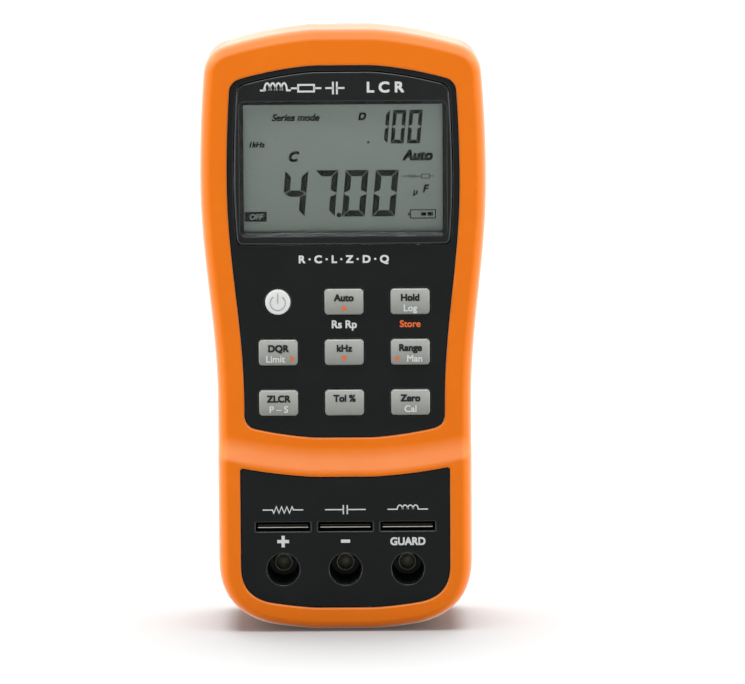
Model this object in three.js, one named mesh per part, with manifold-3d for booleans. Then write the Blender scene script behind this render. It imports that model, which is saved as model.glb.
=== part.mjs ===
// A handheld LCR meter: a two-part instrument case with a soft orange overmould, a display and nine keys
// on the front, three lead slots and three 4 mm jacks below them, and a fold-out stand, a battery door and
// an infrared port on the back.
// Millimetres. X runs to the right, Y runs from the front to the back and Z runs up.
// The origin is the middle of the footprint, on the surface that the meter stands on.
import * as THREE from "three";
import { mergeVertices } from "three/addons/utils/BufferGeometryUtils.js";
import Module from "manifold-3d";

const wasm = await Module();
wasm.setup();

// ---- Driving dimensions ----
const HEIGHT = 184;
const HEAD_HALF = 43.5; // half width at the display end
const GRIP_HALF = 38.8; // half width at the grip
const FRONT = -20.5; // face of the thicker jack end
const UPPER_FACE = -17; // face of the display and key end
const BACK = 20.5;
const PARTING = -1; // plane where the front and rear halves meet
const FIT = 0.2; // gap between pieces that touch

const SWELL_LOW = 70; // the sides are straight below this height
const SWELL_HIGH = 138; // and widest at this one
const HEAD_TAPER = 1 / 780; // how fast the head narrows above that
const END_FLAT = 9; // half width of the flat in the middle of each end
const OVERMOULD = 1.8; // thickness of the soft skin on the sides
const OVERMOULD_FACE = 1; // and on the front and back
const WALL = 2; // hard case wall

const PANEL_TOP_BOW = 1 / 222; // arc of the key panel's top edge and of the bezel's inside it
const JACK_PITCH = 19.05;
const JACK_Z = 19.4;
const SLOT_Z = 32.6;
const KEY_PITCH_X = 20.1;
const KEY_ROWS = [101.5, 86, 70.5];
const DISPLAY_Z = 142;
const BOARD_FRONT = -3.5;
const BOARD_BACK = -1.9;
const STAND_AXIS_Y = 18.2;
const STAND_AXIS_Z = 112;
const SOCKET_Y = -8.4; // axis of the power socket
const SOCKET_Z = 42;

// ---- Solids ----
function solid(geometry) {
  const plain = geometry.index ? geometry.toNonIndexed() : geometry.clone();
  plain.deleteAttribute("normal");
  plain.deleteAttribute("uv");
  const merged = mergeVertices(plain, 1e-4);
  const closed = (triVerts) =>
    new wasm.Manifold(
      new wasm.Mesh({
        numProp: 3,
        vertProperties: merged.attributes.position.array,
        triVerts,
      }),
    );
  const made = closed(new Uint32Array(merged.index.array));
  if (made.volume() > 0) return made;
  // A profile drawn the other way round comes out facing inwards, so its faces are reversed.
  return closed(new Uint32Array(merged.index.array).reverse());
}

const join = (...solids) => solids.reduce((all, next) => all.add(next));
const cut = (body, ...tools) =>
  tools.reduce((left, tool) => left.subtract(tool), body);

// A block between two corners.
function block([x0, y0, z0], [x1, y1, z1]) {
  const box = new THREE.BoxGeometry(x1 - x0, y1 - y0, z1 - z0);
  return solid(box.translate((x0 + x1) / 2, (y0 + y1) / 2, (z0 + z1) / 2));
}

// A cylinder along Y, from yFront to yBack, centred at x and z.
function rod(x, z, radius, yFront, yBack, segments = 16) {
  const shape = new THREE.CylinderGeometry(
    radius,
    radius,
    yBack - yFront,
    segments,
  );
  return solid(shape.translate(x, (yFront + yBack) / 2, z));
}

// A flat outline in X and Z, given depth along Y.
function prism(points, yFront, yBack) {
  const shape = new THREE.Shape(points.map(([x, z]) => new THREE.Vector2(x, z)));
  const plate = new THREE.ExtrudeGeometry(shape, {
    depth: yBack - yFront,
    bevelEnabled: false,
  });
  return solid(plate.rotateX(Math.PI / 2).translate(0, yBack, 0));
}

// A profile in Y and Z, given width along X.
function bar(points, xLeft, xRight) {
  const shape = new THREE.Shape(points.map(([y, z]) => new THREE.Vector2(y, z)));
  const strip = new THREE.ExtrudeGeometry(shape, {
    depth: xRight - xLeft,
    bevelEnabled: false,
  });
  // The shape's own axes X, Y, Z become Y, Z, X.
  strip.rotateX(Math.PI / 2).rotateZ(Math.PI / 2);
  return solid(strip.translate(xLeft, 0, 0));
}

// A turned piece: a profile of [radius, y] spun about the line through x and z along Y.
function turned(x, z, profile, segments = 16) {
  const lathe = new THREE.LatheGeometry(
    profile.map(([radius, y]) => new THREE.Vector2(radius, y)),
    segments,
  );
  return solid(lathe.translate(x, 0, z));
}

// A solid skinned over closed outlines of equal length, each at its own depth, front first.
function loft(rings) {
  const count = rings[0].points.length;
  const position = rings.flatMap(({ y, points }) =>
    points.flatMap(([x, z]) => [x, y, z]),
  );
  const index = [];
  for (let ring = 0; ring + 1 < rings.length; ring++)
    for (let i = 0; i < count; i++) {
      const a = ring * count + i;
      const b = ring * count + ((i + 1) % count);
      index.push(a, b, b + count, a, b + count, a + count);
    }
  const cap = (points) =>
    THREE.ShapeUtils.triangulateShape(
      points.map(([x, z]) => new THREE.Vector2(x, z)),
      [],
    );
  const last = (rings.length - 1) * count;
  for (const [a, b, c] of cap(rings[0].points)) index.push(a, c, b);
  for (const [a, b, c] of cap(rings[rings.length - 1].points))
    index.push(last + a, last + b, last + c);
  const skin = new THREE.BufferGeometry();
  skin.setAttribute("position", new THREE.Float32BufferAttribute(position, 3));
  skin.setIndex(index);
  return solid(skin);
}

// ---- Outlines, as points of [x, z] ----
// Half the body's width at a height: a straight grip that swells to the display end.
function halfWidth(z) {
  if (z <= SWELL_LOW) return GRIP_HALF;
  if (z >= SWELL_HIGH) return HEAD_HALF - HEAD_TAPER * (z - SWELL_HIGH) ** 2;
  const share = (z - SWELL_LOW) / (SWELL_HIGH - SWELL_LOW);
  return (
    GRIP_HALF + ((HEAD_HALF - GRIP_HALF) * (1 - Math.cos(Math.PI * share))) / 2
  );
}

// A closed outline with bowed ends and rounded corners. A positive bow makes an end bulge outwards.
function outline({
  inset = 0,
  half = halfWidth,
  bottom,
  top,
  bottomBow,
  topBow,
  bottomCorner,
  topCorner,
  sideSteps = 8,
  cornerSteps = 4,
}) {
  const bowed = (x) => Math.max(0, x * x - END_FLAT * END_FLAT);
  const floor = (x) => bottom + bottomBow * bowed(x);
  const roof = (x) => top - topBow * bowed(x);
  const side = (z) => half(z) - inset;
  const meet = (end) => {
    let x = side(end(0));
    for (let pass = 0; pass < 4; pass++) x = side(end(x));
    return new THREE.Vector2(x, end(x));
  };
  const corner = (end, size, direction) => {
    const at = meet(end);
    const onEnd = at.x - size;
    const onSide = at.y + direction * size;
    return new THREE.QuadraticBezierCurve(
      new THREE.Vector2(onEnd, end(onEnd)),
      at,
      new THREE.Vector2(side(onSide), onSide),
    ).getPoints(cornerSteps);
  };
  const low = corner(floor, bottomCorner, 1);
  const high = corner(roof, topCorner, -1).reverse();
  const right = [[END_FLAT, floor(END_FLAT)]];
  const endMiddle = (x, end) => {
    const middle = (END_FLAT + x) / 2;
    return [middle, end(middle)];
  };
  right.push(endMiddle(low[0].x, floor), ...low.map((p) => [p.x, p.y]));
  for (let k = 1; k < sideSteps; k++) {
    const from = low[low.length - 1].y;
    const z = from + ((high[0].y - from) * k) / sideSteps;
    right.push([side(z), z]);
  }
  right.push(...high.map((p) => [p.x, p.y]));
  right.push(endMiddle(high[high.length - 1].x, roof), [END_FLAT, roof(END_FLAT)]);
  return [...right, ...right.map(([x, z]) => [-x, z]).reverse()];
}

const BODY = {
  bottomBow: 1 / 260,
  topBow: 1 / 242,
  bottomCorner: 16,
  topCorner: 6.4,
};

function bodyOutline(inset) {
  return outline({
    ...BODY,
    inset,
    bottom: inset,
    top: HEIGHT - inset,
    bottomCorner: BODY.bottomCorner - inset,
    topCorner: Math.max(1.5, BODY.topCorner - inset),
  });
}

// The smile-shaped shoulder where the jack end steps forward, and the block below it.
const SHOULDER_Z = 50; // its lowest point on the jack end's face
const SHOULDER_SLOPE = 7.5 / 3.5; // rise in Z for each millimetre of step
const SMILE_BOW = -1 / 330;

function jackEndOutline(inset, shoulder) {
  return outline({
    inset,
    bottom: inset,
    top: shoulder,
    bottomBow: BODY.bottomBow,
    topBow: SMILE_BOW,
    bottomCorner: BODY.bottomCorner - inset,
    topCorner: 1.5,
    sideSteps: 2,
  });
}

// ---- The outer form, shrunk by a side inset and a face inset for the layers inside it ----
const EDGE_STEPS = 4;
const FRONT_EDGE = [4, 6]; // rounding of the front edge, across and in depth
const JACK_EDGE = [3, 7];
const REAR_EDGE = [5, 8];

function edgeRings([across, deep], side, yFace, direction, ringAt) {
  const rings = [];
  for (let step = 0; step <= EDGE_STEPS; step++) {
    const angle = (step / EDGE_STEPS) * (Math.PI / 2);
    const inset = side + Math.max(0.3, across - side) * (1 - Math.sin(angle));
    const y = yFace + direction * deep * (1 - Math.cos(angle));
    rings.push({ y, points: ringAt(inset, y) });
  }
  return rings;
}

function frontForm(side, face, yBack) {
  const upper = edgeRings(FRONT_EDGE, side, UPPER_FACE + face, 1, bodyOutline);
  upper.push({ y: yBack, points: bodyOutline(side) });
  const shoulder = (y) =>
    SHOULDER_Z - side / 2 + (y - FRONT - face) * SHOULDER_SLOPE;
  const jackEnd = edgeRings(JACK_EDGE, side, FRONT + face, 1, (inset, y) =>
    jackEndOutline(inset, shoulder(y)),
  );
  // It runs on until the rounding of the upper front edge has ended.
  jackEnd.push({ y: UPPER_FACE + 8, points: jackEnd[EDGE_STEPS].points });
  return join(loft(upper), loft(jackEnd));
}

function rearForm(side, face, yFront) {
  const rings = edgeRings(REAR_EDGE, side, BACK - face, -1, bodyOutline);
  rings.push({ y: yFront, points: bodyOutline(side) });
  return loft(rings.reverse());
}

const CASE_SIDE = OVERMOULD + FIT;
const CASE_FACE = OVERMOULD_FACE + FIT;
const CAVITY_SIDE = CASE_SIDE + WALL;
const CAVITY_FACE = 3;
const FRONT_END = PARTING - FIT / 2;
const REAR_START = PARTING + FIT / 2;
const FAR = 40; // beyond the body on any side

// ---- Openings in the overmould, and the hard panels that show in them ----
function upperPanel(inset) {
  return outline({
    inset: 8.2 + inset,
    bottom: 59.6 + inset,
    top: 173.4 - inset,
    bottomBow: 1 / 244,
    topBow: PANEL_TOP_BOW,
    bottomCorner: 3.5,
    topCorner: 3.2,
  });
}

function lowerPanel(inset) {
  return outline({
    inset: 6.8 + inset,
    bottom: 7.4 + inset,
    top: 48 - inset,
    bottomBow: 1 / 270,
    topBow: SMILE_BOW,
    bottomCorner: 9,
    topCorner: 1.2,
    sideSteps: 2,
  });
}

function rearPanel(inset) {
  return outline({
    inset: 6.5 + inset,
    bottom: 7 + inset,
    top: 178.6 - inset,
    bottomBow: BODY.bottomBow,
    topBow: BODY.topBow,
    bottomCorner: 10,
    topCorner: 4,
    sideSteps: 6,
  });
}

const PANEL_FACE = 0.2; // the hard panels sit this far below the soft rim
const KEY = { width: 11.9, height: 7.9, corner: 1.1, clearance: 0.3 };
const POWER_KEY_RADIUS = 3.85;

function roundedBox(x, z, width, height, corner) {
  const points = [];
  const steps = 2;
  for (let quarter = 0; quarter < 4; quarter++)
    for (let step = 0; step <= steps; step++) {
      const angle = (quarter + step / steps) * (Math.PI / 2);
      const right = quarter === 0 || quarter === 3 ? 1 : -1;
      const up = quarter < 2 ? 1 : -1;
      points.push([
        x + right * (width / 2 - corner) + corner * Math.cos(angle),
        z + up * (height / 2 - corner) + corner * Math.sin(angle),
      ]);
    }
  return points;
}

const JACKS = ["positive", "negative", "guard"].map((name, i) => ({
  name,
  x: (i - 1) * JACK_PITCH,
}));
const KEYS = [
  ["power", "auto", "hold"],
  ["phase", "frequency", "range"],
  ["mode", "tolerance", "zero"],
].flatMap((row, r) =>
  row.map((name, c) => ({
    name: "key_" + name,
    x: (c - 1) * KEY_PITCH_X,
    z: KEY_ROWS[r],
    round: name === "power",
  })),
);

const parts = new THREE.Group();

function add(name, made, material) {
  const { vertProperties, triVerts, numProp } = made.getMesh();
  const geometry = new THREE.BufferGeometry();
  const position = new Float32Array((vertProperties.length / numProp) * 3);
  for (let i = 0; i < position.length / 3; i++)
    position.set(vertProperties.subarray(i * numProp, i * numProp + 3), i * 3);
  geometry.setAttribute("position", new THREE.BufferAttribute(position, 3));
  geometry.setIndex(new THREE.BufferAttribute(triVerts, 1));
  const flat = geometry.toNonIndexed();
  flat.computeVertexNormals();
  const mesh = new THREE.Mesh(flat, material);
  mesh.name = name;
  parts.add(mesh);
}

const finish = (color, roughness, metalness = 0) =>
  new THREE.MeshStandardMaterial({ color, roughness, metalness });
const softOrange = finish(0xf07c14, 0.6);
const blackPlastic = finish(0x1d1f20, 0.55);
const greyKey = finish(0x9a9c98, 0.45, 0.2);
const whiteKey = finish(0xd8d9d6, 0.4);
const whitePlastic = finish(0xe6e6e0, 0.5);
const clearPlastic = finish(0xdfe6e4, 0.05);
const displayGlass = finish(0x6d7a72, 0.2);
const boardGreen = finish(0x1d6b3c, 0.5);
const nickel = finish(0xc9c9c4, 0.25, 1);
const steel = finish(0x8d9094, 0.35, 1);
const chipBlack = finish(0x222224, 0.6);
const rubber = finish(0x2b2b2c, 0.85);

// ---- Front half ----
const CASE_SCREWS = [
  ["upper_left", -29, 171.5],
  ["upper_right", 29, 171.5],
  ["lower_left", -9.5, 11.5],
  ["lower_right", 9.5, 11.5],
];
const BOARD_SCREWS = [
  ["upper_left", -29, 110.6],
  ["upper_right", 29, 110.6],
  ["lower_left", -27.5, 56],
  ["lower_right", 27.5, 56],
];
const WELL_RADIUS = 4.9;
const WELL_WALL = 1.3;
const WELL_END = -4.6;
const WELL_FLOOR = 1.2;
const SLOT = { width: 16.6, height: 2.8 };
const JACK_RADIUS = 2.75;
const CASE_HOLE = 4.5; // hole for the power plug in the case wall

// The oval dip in the soft skin round the power socket.
const socketDip = () => {
  const shape = roundedBox(SOCKET_Y, SOCKET_Z, 8.4, 17, 4.1);
  return bar(shape, 20, FAR + 10);
};
const plugHole = () => {
  const hole = new THREE.CylinderGeometry(CASE_HOLE, CASE_HOLE, 20, 20);
  hole.rotateZ(Math.PI / 2).translate(GRIP_HALF, SOCKET_Y, SOCKET_Z);
  return solid(hole);
};

add(
  "front_overmould",
  cut(
    frontForm(0, 0, FRONT_END),
    frontForm(OVERMOULD, OVERMOULD_FACE, PARTING + 1),
    prism(upperPanel(0), -FAR, UPPER_FACE + 6),
    prism(lowerPanel(0), -FAR, UPPER_FACE + 6),
    socketDip(),
  ),
  softOrange,
);

const LENS = { width: 64, height: 42.4, thickness: 1 };
const VIEW = { width: 60.4, height: 38.8, bevel: 0.9 };
const BEZEL_RIM = 2; // key panel left showing round the display bezel
const BEZEL_FACE = UPPER_FACE - 0.3;
const BEZEL_BACK = UPPER_FACE + 1.8;
const bezelOutline = (inset) =>
  outline({
    inset: 8.2 + BEZEL_RIM + inset,
    bottom: 118.7 + inset,
    top: 171.7 - inset,
    bottomBow: 1 / 6000,
    topBow: PANEL_TOP_BOW,
    bottomCorner: 2,
    topCorner: 2.6,
    sideSteps: 3,
  });

const wells = (radius, yFront, yBack, segments) =>
  JACKS.map(({ x }) => rod(x, JACK_Z, radius, yFront, yBack, segments));
const keyHoles = KEYS.map(({ x, z, round }) =>
  round
    ? rod(x, z, POWER_KEY_RADIUS + KEY.clearance, -FAR, -10, 20)
    : prism(
        roundedBox(
          x,
          z,
          KEY.width + 2 * KEY.clearance,
          KEY.height + 2 * KEY.clearance,
          KEY.corner,
        ),
        -FAR,
        -10,
      ),
);
const frontBosses = [
  ...CASE_SCREWS.map(([, x, z]) =>
    rod(x, z, 3, (z > SHOULDER_Z ? UPPER_FACE : FRONT) + 2.2, FRONT_END, 12),
  ),
  ...BOARD_SCREWS.map(([, x, z]) =>
    rod(x, z, 2.4, UPPER_FACE + 2, BOARD_FRONT - FIT, 12),
  ),
];
const SCREW_PILOT = 1.25;
const pilots = [
  ...CASE_SCREWS.map(([, x, z]) => rod(x, z, SCREW_PILOT + 0.25, -12, 0, 10)),
  ...BOARD_SCREWS.map(([, x, z]) => rod(x, z, SCREW_PILOT, -9, 0, 10)),
];

add(
  "front_case",
  cut(
    join(
      cut(
        frontForm(CASE_SIDE, CASE_FACE, FRONT_END),
        frontForm(CAVITY_SIDE, CAVITY_FACE, PARTING + 1),
      ),
      prism(upperPanel(FIT), UPPER_FACE + PANEL_FACE, UPPER_FACE + CAVITY_FACE),
      prism(lowerPanel(FIT), FRONT + PANEL_FACE, FRONT + CAVITY_FACE),
      ...frontBosses,
    ),
    ...wells(WELL_RADIUS, -FAR, -10, 20),
    ...JACKS.map(({ x }) =>
      block(
        [x - SLOT.width / 2, -FAR, SLOT_Z - SLOT.height / 2],
        [x + SLOT.width / 2, -15, SLOT_Z + SLOT.height / 2],
      ),
    ),
    ...keyHoles,
    ...pilots,
    prism(bezelOutline(0), -FAR, BEZEL_BACK + FIT),
    prism(
      roundedBox(0, DISPLAY_Z, LENS.width + 2 * FIT, LENS.height + 2 * FIT, 1.5),
      -FAR,
      -10,
    ),
    plugHole(),
  ),
  blackPlastic,
);

// The deep wells that shroud the plugs are one block behind the panel, which also holds the jacks.
const BLOCK_WEB = { halfHeight: 2.5, front: -12, back: -5.4 };
add(
  "terminal_block",
  cut(
    join(
      ...wells(WELL_RADIUS + WELL_WALL, FRONT + CAVITY_FACE + FIT, WELL_END, 20),
      block(
        [-JACK_PITCH, BLOCK_WEB.front, JACK_Z - BLOCK_WEB.halfHeight],
        [JACK_PITCH, BLOCK_WEB.back, JACK_Z + BLOCK_WEB.halfHeight],
      ),
    ),
    ...wells(WELL_RADIUS, -FAR, WELL_END - WELL_FLOOR, 20),
    ...wells(JACK_RADIUS + FIT, -FAR, 0, 16),
  ),
  blackPlastic,
);

// ---- Display ----
add(
  "display_bezel",
  cut(
    prism(bezelOutline(FIT), BEZEL_FACE, BEZEL_BACK),
    loft([
      {
        y: BEZEL_FACE - 0.5,
        points: roundedBox(
          0,
          DISPLAY_Z,
          VIEW.width + 3 * VIEW.bevel,
          VIEW.height + 3 * VIEW.bevel,
          1.6,
        ),
      },
      {
        y: BEZEL_BACK + 0.5,
        points: roundedBox(0, DISPLAY_Z, VIEW.width, VIEW.height, 0.8),
      },
    ]),
  ),
  blackPlastic,
);
const LENS_BACK = BEZEL_BACK + FIT + LENS.thickness;
add(
  "display_window",
  prism(
    roundedBox(0, DISPLAY_Z, LENS.width, LENS.height, 1.3),
    BEZEL_BACK + FIT,
    LENS_BACK,
  ),
  clearPlastic,
);
const GLASS = { width: 66, height: 45, front: -13.2, back: -10.5 };
const centred = (width, height, yFront, yBack, z = DISPLAY_Z, x = 0) =>
  block([x - width / 2, yFront, z - height / 2], [x + width / 2, yBack, z + height / 2]);
add(
  "lcd_panel",
  centred(GLASS.width, GLASS.height, GLASS.front, GLASS.back),
  displayGlass,
);
const BACKLIGHT = { width: 62, height: 39.5, back: -7.8 };
add(
  "backlight_panel",
  centred(BACKLIGHT.width, BACKLIGHT.height, GLASS.back + FIT, BACKLIGHT.back),
  whitePlastic,
);
add(
  "lcd_holder",
  cut(
    centred(GLASS.width + 5, GLASS.height + 5, -13.4, BOARD_FRONT - FIT),
    centred(GLASS.width + 0.6, GLASS.height + 0.6, -FAR, BACKLIGHT.back),
    centred(GLASS.width - 6, GLASS.height + 0.6, -FAR, 0),
  ),
  whitePlastic,
);
for (const [name, side] of [
  ["upper", 1],
  ["lower", -1],
])
  add(
    "zebra_strip_" + name,
    centred(58, 2, GLASS.back + FIT, BOARD_FRONT - FIT, DISPLAY_Z + side * 21.2),
    rubber,
  );

// ---- Keys and their rubber mat ----
const KEY_FACE = UPPER_FACE - 1;
const KEY_FLANGE = [UPPER_FACE + CAVITY_FACE + FIT, UPPER_FACE + CAVITY_FACE + 1.1];
const MAT = { front: -4.9, domeTop: -6.8 };
for (const { name, x, z, round } of KEYS) {
  const postEnd = MAT.domeTop - FIT;
  const cap = round
    ? join(
        rod(x, z, POWER_KEY_RADIUS, KEY_FACE, KEY_FLANGE[0] + 0.5, 20),
        rod(x, z, POWER_KEY_RADIUS + 1, ...KEY_FLANGE, 20),
      )
    : join(
        prism(
          roundedBox(x, z, KEY.width, KEY.height, KEY.corner),
          KEY_FACE,
          KEY_FLANGE[0] + 0.5,
        ),
        centred(KEY.width + 1.8, KEY.height + 1.6, ...KEY_FLANGE, z, x),
      );
  add(
    name,
    join(cap, rod(x, z, 2.4, KEY_FLANGE[0], postEnd, 8)),
    round ? whiteKey : greyKey,
  );
}
const domes = (growth, from) =>
  KEYS.map(({ x, z }) =>
    turned(
      x,
      z,
      [
        [0, MAT.domeTop + growth],
        [3 - growth, MAT.domeTop + growth],
        [4.6 - growth, from],
        [0, from],
      ],
      12,
    ),
  );
add(
  "keypad_mat",
  cut(
    join(
      block([-30, MAT.front, 62], [30, BOARD_FRONT - FIT, 107.4]),
      ...domes(0, MAT.front + 0.5),
    ),
    ...domes(0.7, -3),
  ),
  rubber,
);

// ---- Main board and what is soldered to it ----
add(
  "main_board",
  cut(
    prism(
      outline({
        inset: 6,
        bottom: 6.6,
        top: 166.6,
        bottomBow: BODY.bottomBow,
        topBow: 1 / 6000,
        bottomCorner: 10,
        topCorner: 1.5,
        sideSteps: 6,
      }),
      BOARD_FRONT,
      BOARD_BACK,
    ),
    ...CASE_SCREWS.map(([, x, z]) => rod(x, z, 3.4, -10, 5, 12)),
    ...BOARD_SCREWS.map(([, x, z]) => rod(x, z, 1.6, -10, 5, 12)),
    ...wells(JACK_RADIUS + FIT, -10, 5, 12),
  ),
  boardGreen,
);
for (const { name, x } of JACKS) {
  add(
    "jack_" + name,
    turned(
      x,
      JACK_Z,
      [
        [2.05, -7.6],
        [2.5, -8],
        [JACK_RADIUS, -7.6],
        [JACK_RADIUS, WELL_END + FIT],
        [4, WELL_END + FIT],
        [4, BOARD_FRONT - FIT],
        [JACK_RADIUS, BOARD_FRONT - FIT],
        [JACK_RADIUS, 9],
        [0, 9],
        [0, 8],
        [2.05, 8],
        [2.05, -7.6],
      ],
      16,
    ),
    nickel,
  );
  // A hairpin of sheet metal whose two leaves nearly meet just behind the slot.
  const sheet = 0.35;
  const leaf = [
    [BOARD_FRONT - FIT, 3],
    [-12, 2.2],
    [-17, 0.45],
    [-18.8, 0.55],
  ];
  const inner = leaf.map(([y, rise]) => [y, rise - sheet]).reverse();
  inner[inner.length - 1] = [BOARD_FRONT - FIT - 0.5, leaf[0][1] - sheet];
  const half = [...leaf, ...inner];
  add(
    "slot_contact_" + name,
    bar(
      [...half, ...half.map(([y, rise]) => [y, -rise]).reverse()].map(
        ([y, rise]) => [y, SLOT_Z + rise],
      ),
      x - SLOT.width / 2 + 0.6,
      x + SLOT.width / 2 - 0.6,
    ),
    nickel,
  );
}

const barrel = (radius, xLeft, xRight) => {
  const tube = new THREE.CylinderGeometry(radius, radius, xRight - xLeft, 16);
  tube.rotateZ(Math.PI / 2).translate((xLeft + xRight) / 2, SOCKET_Y, SOCKET_Z);
  return solid(tube);
};
add(
  "power_socket",
  join(
    cut(
      block(
        [21, BOARD_FRONT - FIT - 9.4, SOCKET_Z - 4.5],
        [34.2, BOARD_FRONT - FIT, SOCKET_Z + 4.5],
      ),
      barrel(3.2, 25, 40),
    ),
    barrel(1.05, 24, 33.6),
  ),
  chipBlack,
);

const onBoardBack = (width, height, rise, x, z) =>
  block(
    [x - width / 2, BOARD_BACK + 0.05, z - height / 2],
    [x + width / 2, BOARD_BACK + rise, z + height / 2],
  );
add("controller_chip", onBoardBack(14, 14, 1.5, -12, 134), chipBlack);
add("converter_chip", onBoardBack(10, 8, 1.8, 12, 122), chipBlack);
add("crystal", onBoardBack(11, 4.6, 3.6, -12, 119), nickel);
add("input_relay", onBoardBack(15, 7.4, 9, 22, 140), chipBlack);
add(
  "reservoir_capacitor",
  rod(-26, 146, 4, BOARD_BACK + 0.05, BOARD_BACK + 10, 16),
  chipBlack,
);
add("buzzer", rod(22, 157, 6, BOARD_BACK + 0.05, BOARD_BACK + 7, 20), chipBlack);
for (const [name, side] of [
  ["emitter", -1],
  ["receiver", 1],
]) {
  const x = side * 4;
  add(
    "infrared_" + name,
    join(
      rod(x, 161, 1.5, 12, 17.2, 12),
      rod(x, 161, 1.9, 11, 12.2, 12),
      ...[-0.9, 0.9].map((gap) =>
        block([x + gap - 0.25, BOARD_BACK + 0.05, 160.75], [x + gap + 0.25, 11.5, 161.25]),
      ),
    ),
    chipBlack,
  );
}

// ---- Rear half ----
const REAR_FACE = BACK - 0.4;
const COVER = { half: 15.5, bottom: 33.5, top: 104.5, face: BACK - 0.5 };
const POCKET = { half: 13.8, bottom: 42.2, top: 97.8, floor: 1.2 };
const STAND = { inner: 16.8, outer: 24, foot: 23, footTop: 31, thick: 4 };
const STAND_FACE = STAND_AXIS_Y + STAND.thick / 2;
const TRUNNION = { radius: 1.4, length: 2.2 };
const COVER_SCREWS = [
  ["lower", 37.6],
  ["upper", 101.4],
];
const COVER_SEAT = COVER.face - 2;
const HEAD_SEAT = 13; // depth of the case screws' heads

const standOutline = (gap) => [
  [-STAND.outer - gap, STAND.foot - gap],
  [STAND.outer + gap, STAND.foot - gap],
  [STAND.outer + gap, STAND_AXIS_Z + 2 + gap],
  [STAND.inner - gap, STAND_AXIS_Z + 2 + gap],
  [STAND.inner - gap, STAND.footTop + gap],
  [-STAND.inner + gap, STAND.footTop + gap],
  [-STAND.inner + gap, STAND_AXIS_Z + 2 + gap],
  [-STAND.outer - gap, STAND_AXIS_Z + 2 + gap],
];
const STAND_GAP = 0.3;
const FINGER = { half: 9, bottom: 17.5 };
const across = (radius, halfLength, segments = 16) => {
  const pin = new THREE.CylinderGeometry(radius, radius, 2 * halfLength, segments);
  pin.rotateZ(Math.PI / 2).translate(0, STAND_AXIS_Y, STAND_AXIS_Z);
  return solid(pin);
};
const trunnionSocket = across(TRUNNION.radius + 0.05, STAND.outer + TRUNNION.length + 0.3);
const INFRARED = { halfWidth: 8, low: 157.5, high: 164.5 };

add(
  "rear_overmould",
  cut(
    rearForm(0, 0, REAR_START),
    rearForm(OVERMOULD, OVERMOULD_FACE, PARTING - 1),
    prism(rearPanel(0), 5, FAR),
  ),
  softOrange,
);

add(
  "rear_case",
  cut(
    join(
      cut(
        rearForm(CASE_SIDE, CASE_FACE, REAR_START),
        rearForm(CAVITY_SIDE, CAVITY_FACE, PARTING - 1),
      ),
      prism(rearPanel(FIT), BACK - CAVITY_FACE - 0.2, REAR_FACE),
      block(
        [-STAND.outer - 4.2, 14.2, STAND.foot - 1.6],
        [STAND.outer + 4.2, 18, STAND_AXIS_Z + 4.4],
      ),
      block(
        [-POCKET.half - 1.4, -0.5, POCKET.bottom - 1.4],
        [POCKET.half + 1.4, 18, POCKET.top + 1.4],
      ),
      ...COVER_SCREWS.map(([, z]) => rod(0, z, 2.9, 9, 17, 12)),
      ...CASE_SCREWS.map(([, x, z]) => rod(x, z, 4, REAR_START, 18, 14)),
    ),
    prism(standOutline(STAND_GAP), STAND_AXIS_Y - STAND.thick / 2 - STAND_GAP, FAR),
    block([-FINGER.half, 16.6, FINGER.bottom], [FINGER.half, FAR, STAND.foot]),
    trunnionSocket,
    block(
      [-COVER.half - FIT, COVER_SEAT - FIT, COVER.bottom - FIT],
      [COVER.half + FIT, FAR, COVER.top + FIT],
    ),
    block([-POCKET.half, POCKET.floor, POCKET.bottom], [POCKET.half, FAR, POCKET.top]),
    ...COVER_SCREWS.map(([, z]) => rod(0, z, SCREW_PILOT, 10, FAR, 10)),
    ...CASE_SCREWS.map(([, x, z]) => rod(x, z, 1.8, -10, FAR, 12)),
    ...CASE_SCREWS.map(([, x, z]) => rod(x, z, 2.9, HEAD_SEAT, FAR, 14)),
    block([-INFRARED.halfWidth, 17.8, INFRARED.low], [INFRARED.halfWidth, FAR, INFRARED.high]),
    ...[-4, 4].map((x) => rod(x, 161, 2.3, 10, 19, 12)),
    block([-6, -2, POCKET.top - 1], [6, 9, POCKET.top + 3]),
  ),
  blackPlastic,
);
add(
  "infrared_window",
  block(
    [-INFRARED.halfWidth + FIT, 17.8 + FIT, INFRARED.low + FIT],
    [INFRARED.halfWidth - FIT, 19.2, INFRARED.high - FIT],
  ),
  finish(0x2a0f12, 0.15),
);

// ---- Battery, its door and its leads ----
add(
  "battery_cover",
  cut(
    prism(
      roundedBox(
        0,
        (COVER.bottom + COVER.top) / 2,
        2 * COVER.half,
        COVER.top - COVER.bottom,
        1.5,
      ),
      COVER_SEAT,
      COVER.face,
    ),
    ...COVER_SCREWS.map(([, z]) => rod(0, z, 1.5, 10, FAR, 10)),
    ...COVER_SCREWS.map(([, z]) => rod(0, z, 2.5, COVER_SEAT + 0.9, FAR, 12)),
    ...[0, 1, 2].map((k) =>
      block([-6, COVER.face - 0.5, 58 + 3 * k], [6, FAR, 59.2 + 3 * k]),
    ),
  ),
  blackPlastic,
);
const BATTERY = { half: 13.1, bottom: 43, top: 89.2, front: 1.5, back: 17.6 };
const TERMINALS = [-6.3, 6.3];
const SNAP_Z = 91.4;
const terminal = (x, radius, length) => {
  const stud = new THREE.CylinderGeometry(radius, radius, length, 12);
  return solid(stud.rotateX(Math.PI / 2).translate(x, 9.5, BATTERY.top + length / 2 - 0.1));
};
add(
  "battery",
  join(
    block(
      [-BATTERY.half, BATTERY.front, BATTERY.bottom],
      [BATTERY.half, BATTERY.back, BATTERY.top],
    ),
    ...TERMINALS.map((x) => terminal(x, 2.8, 2.3)),
  ),
  finish(0x30343a, 0.4, 0.5),
);
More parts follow.
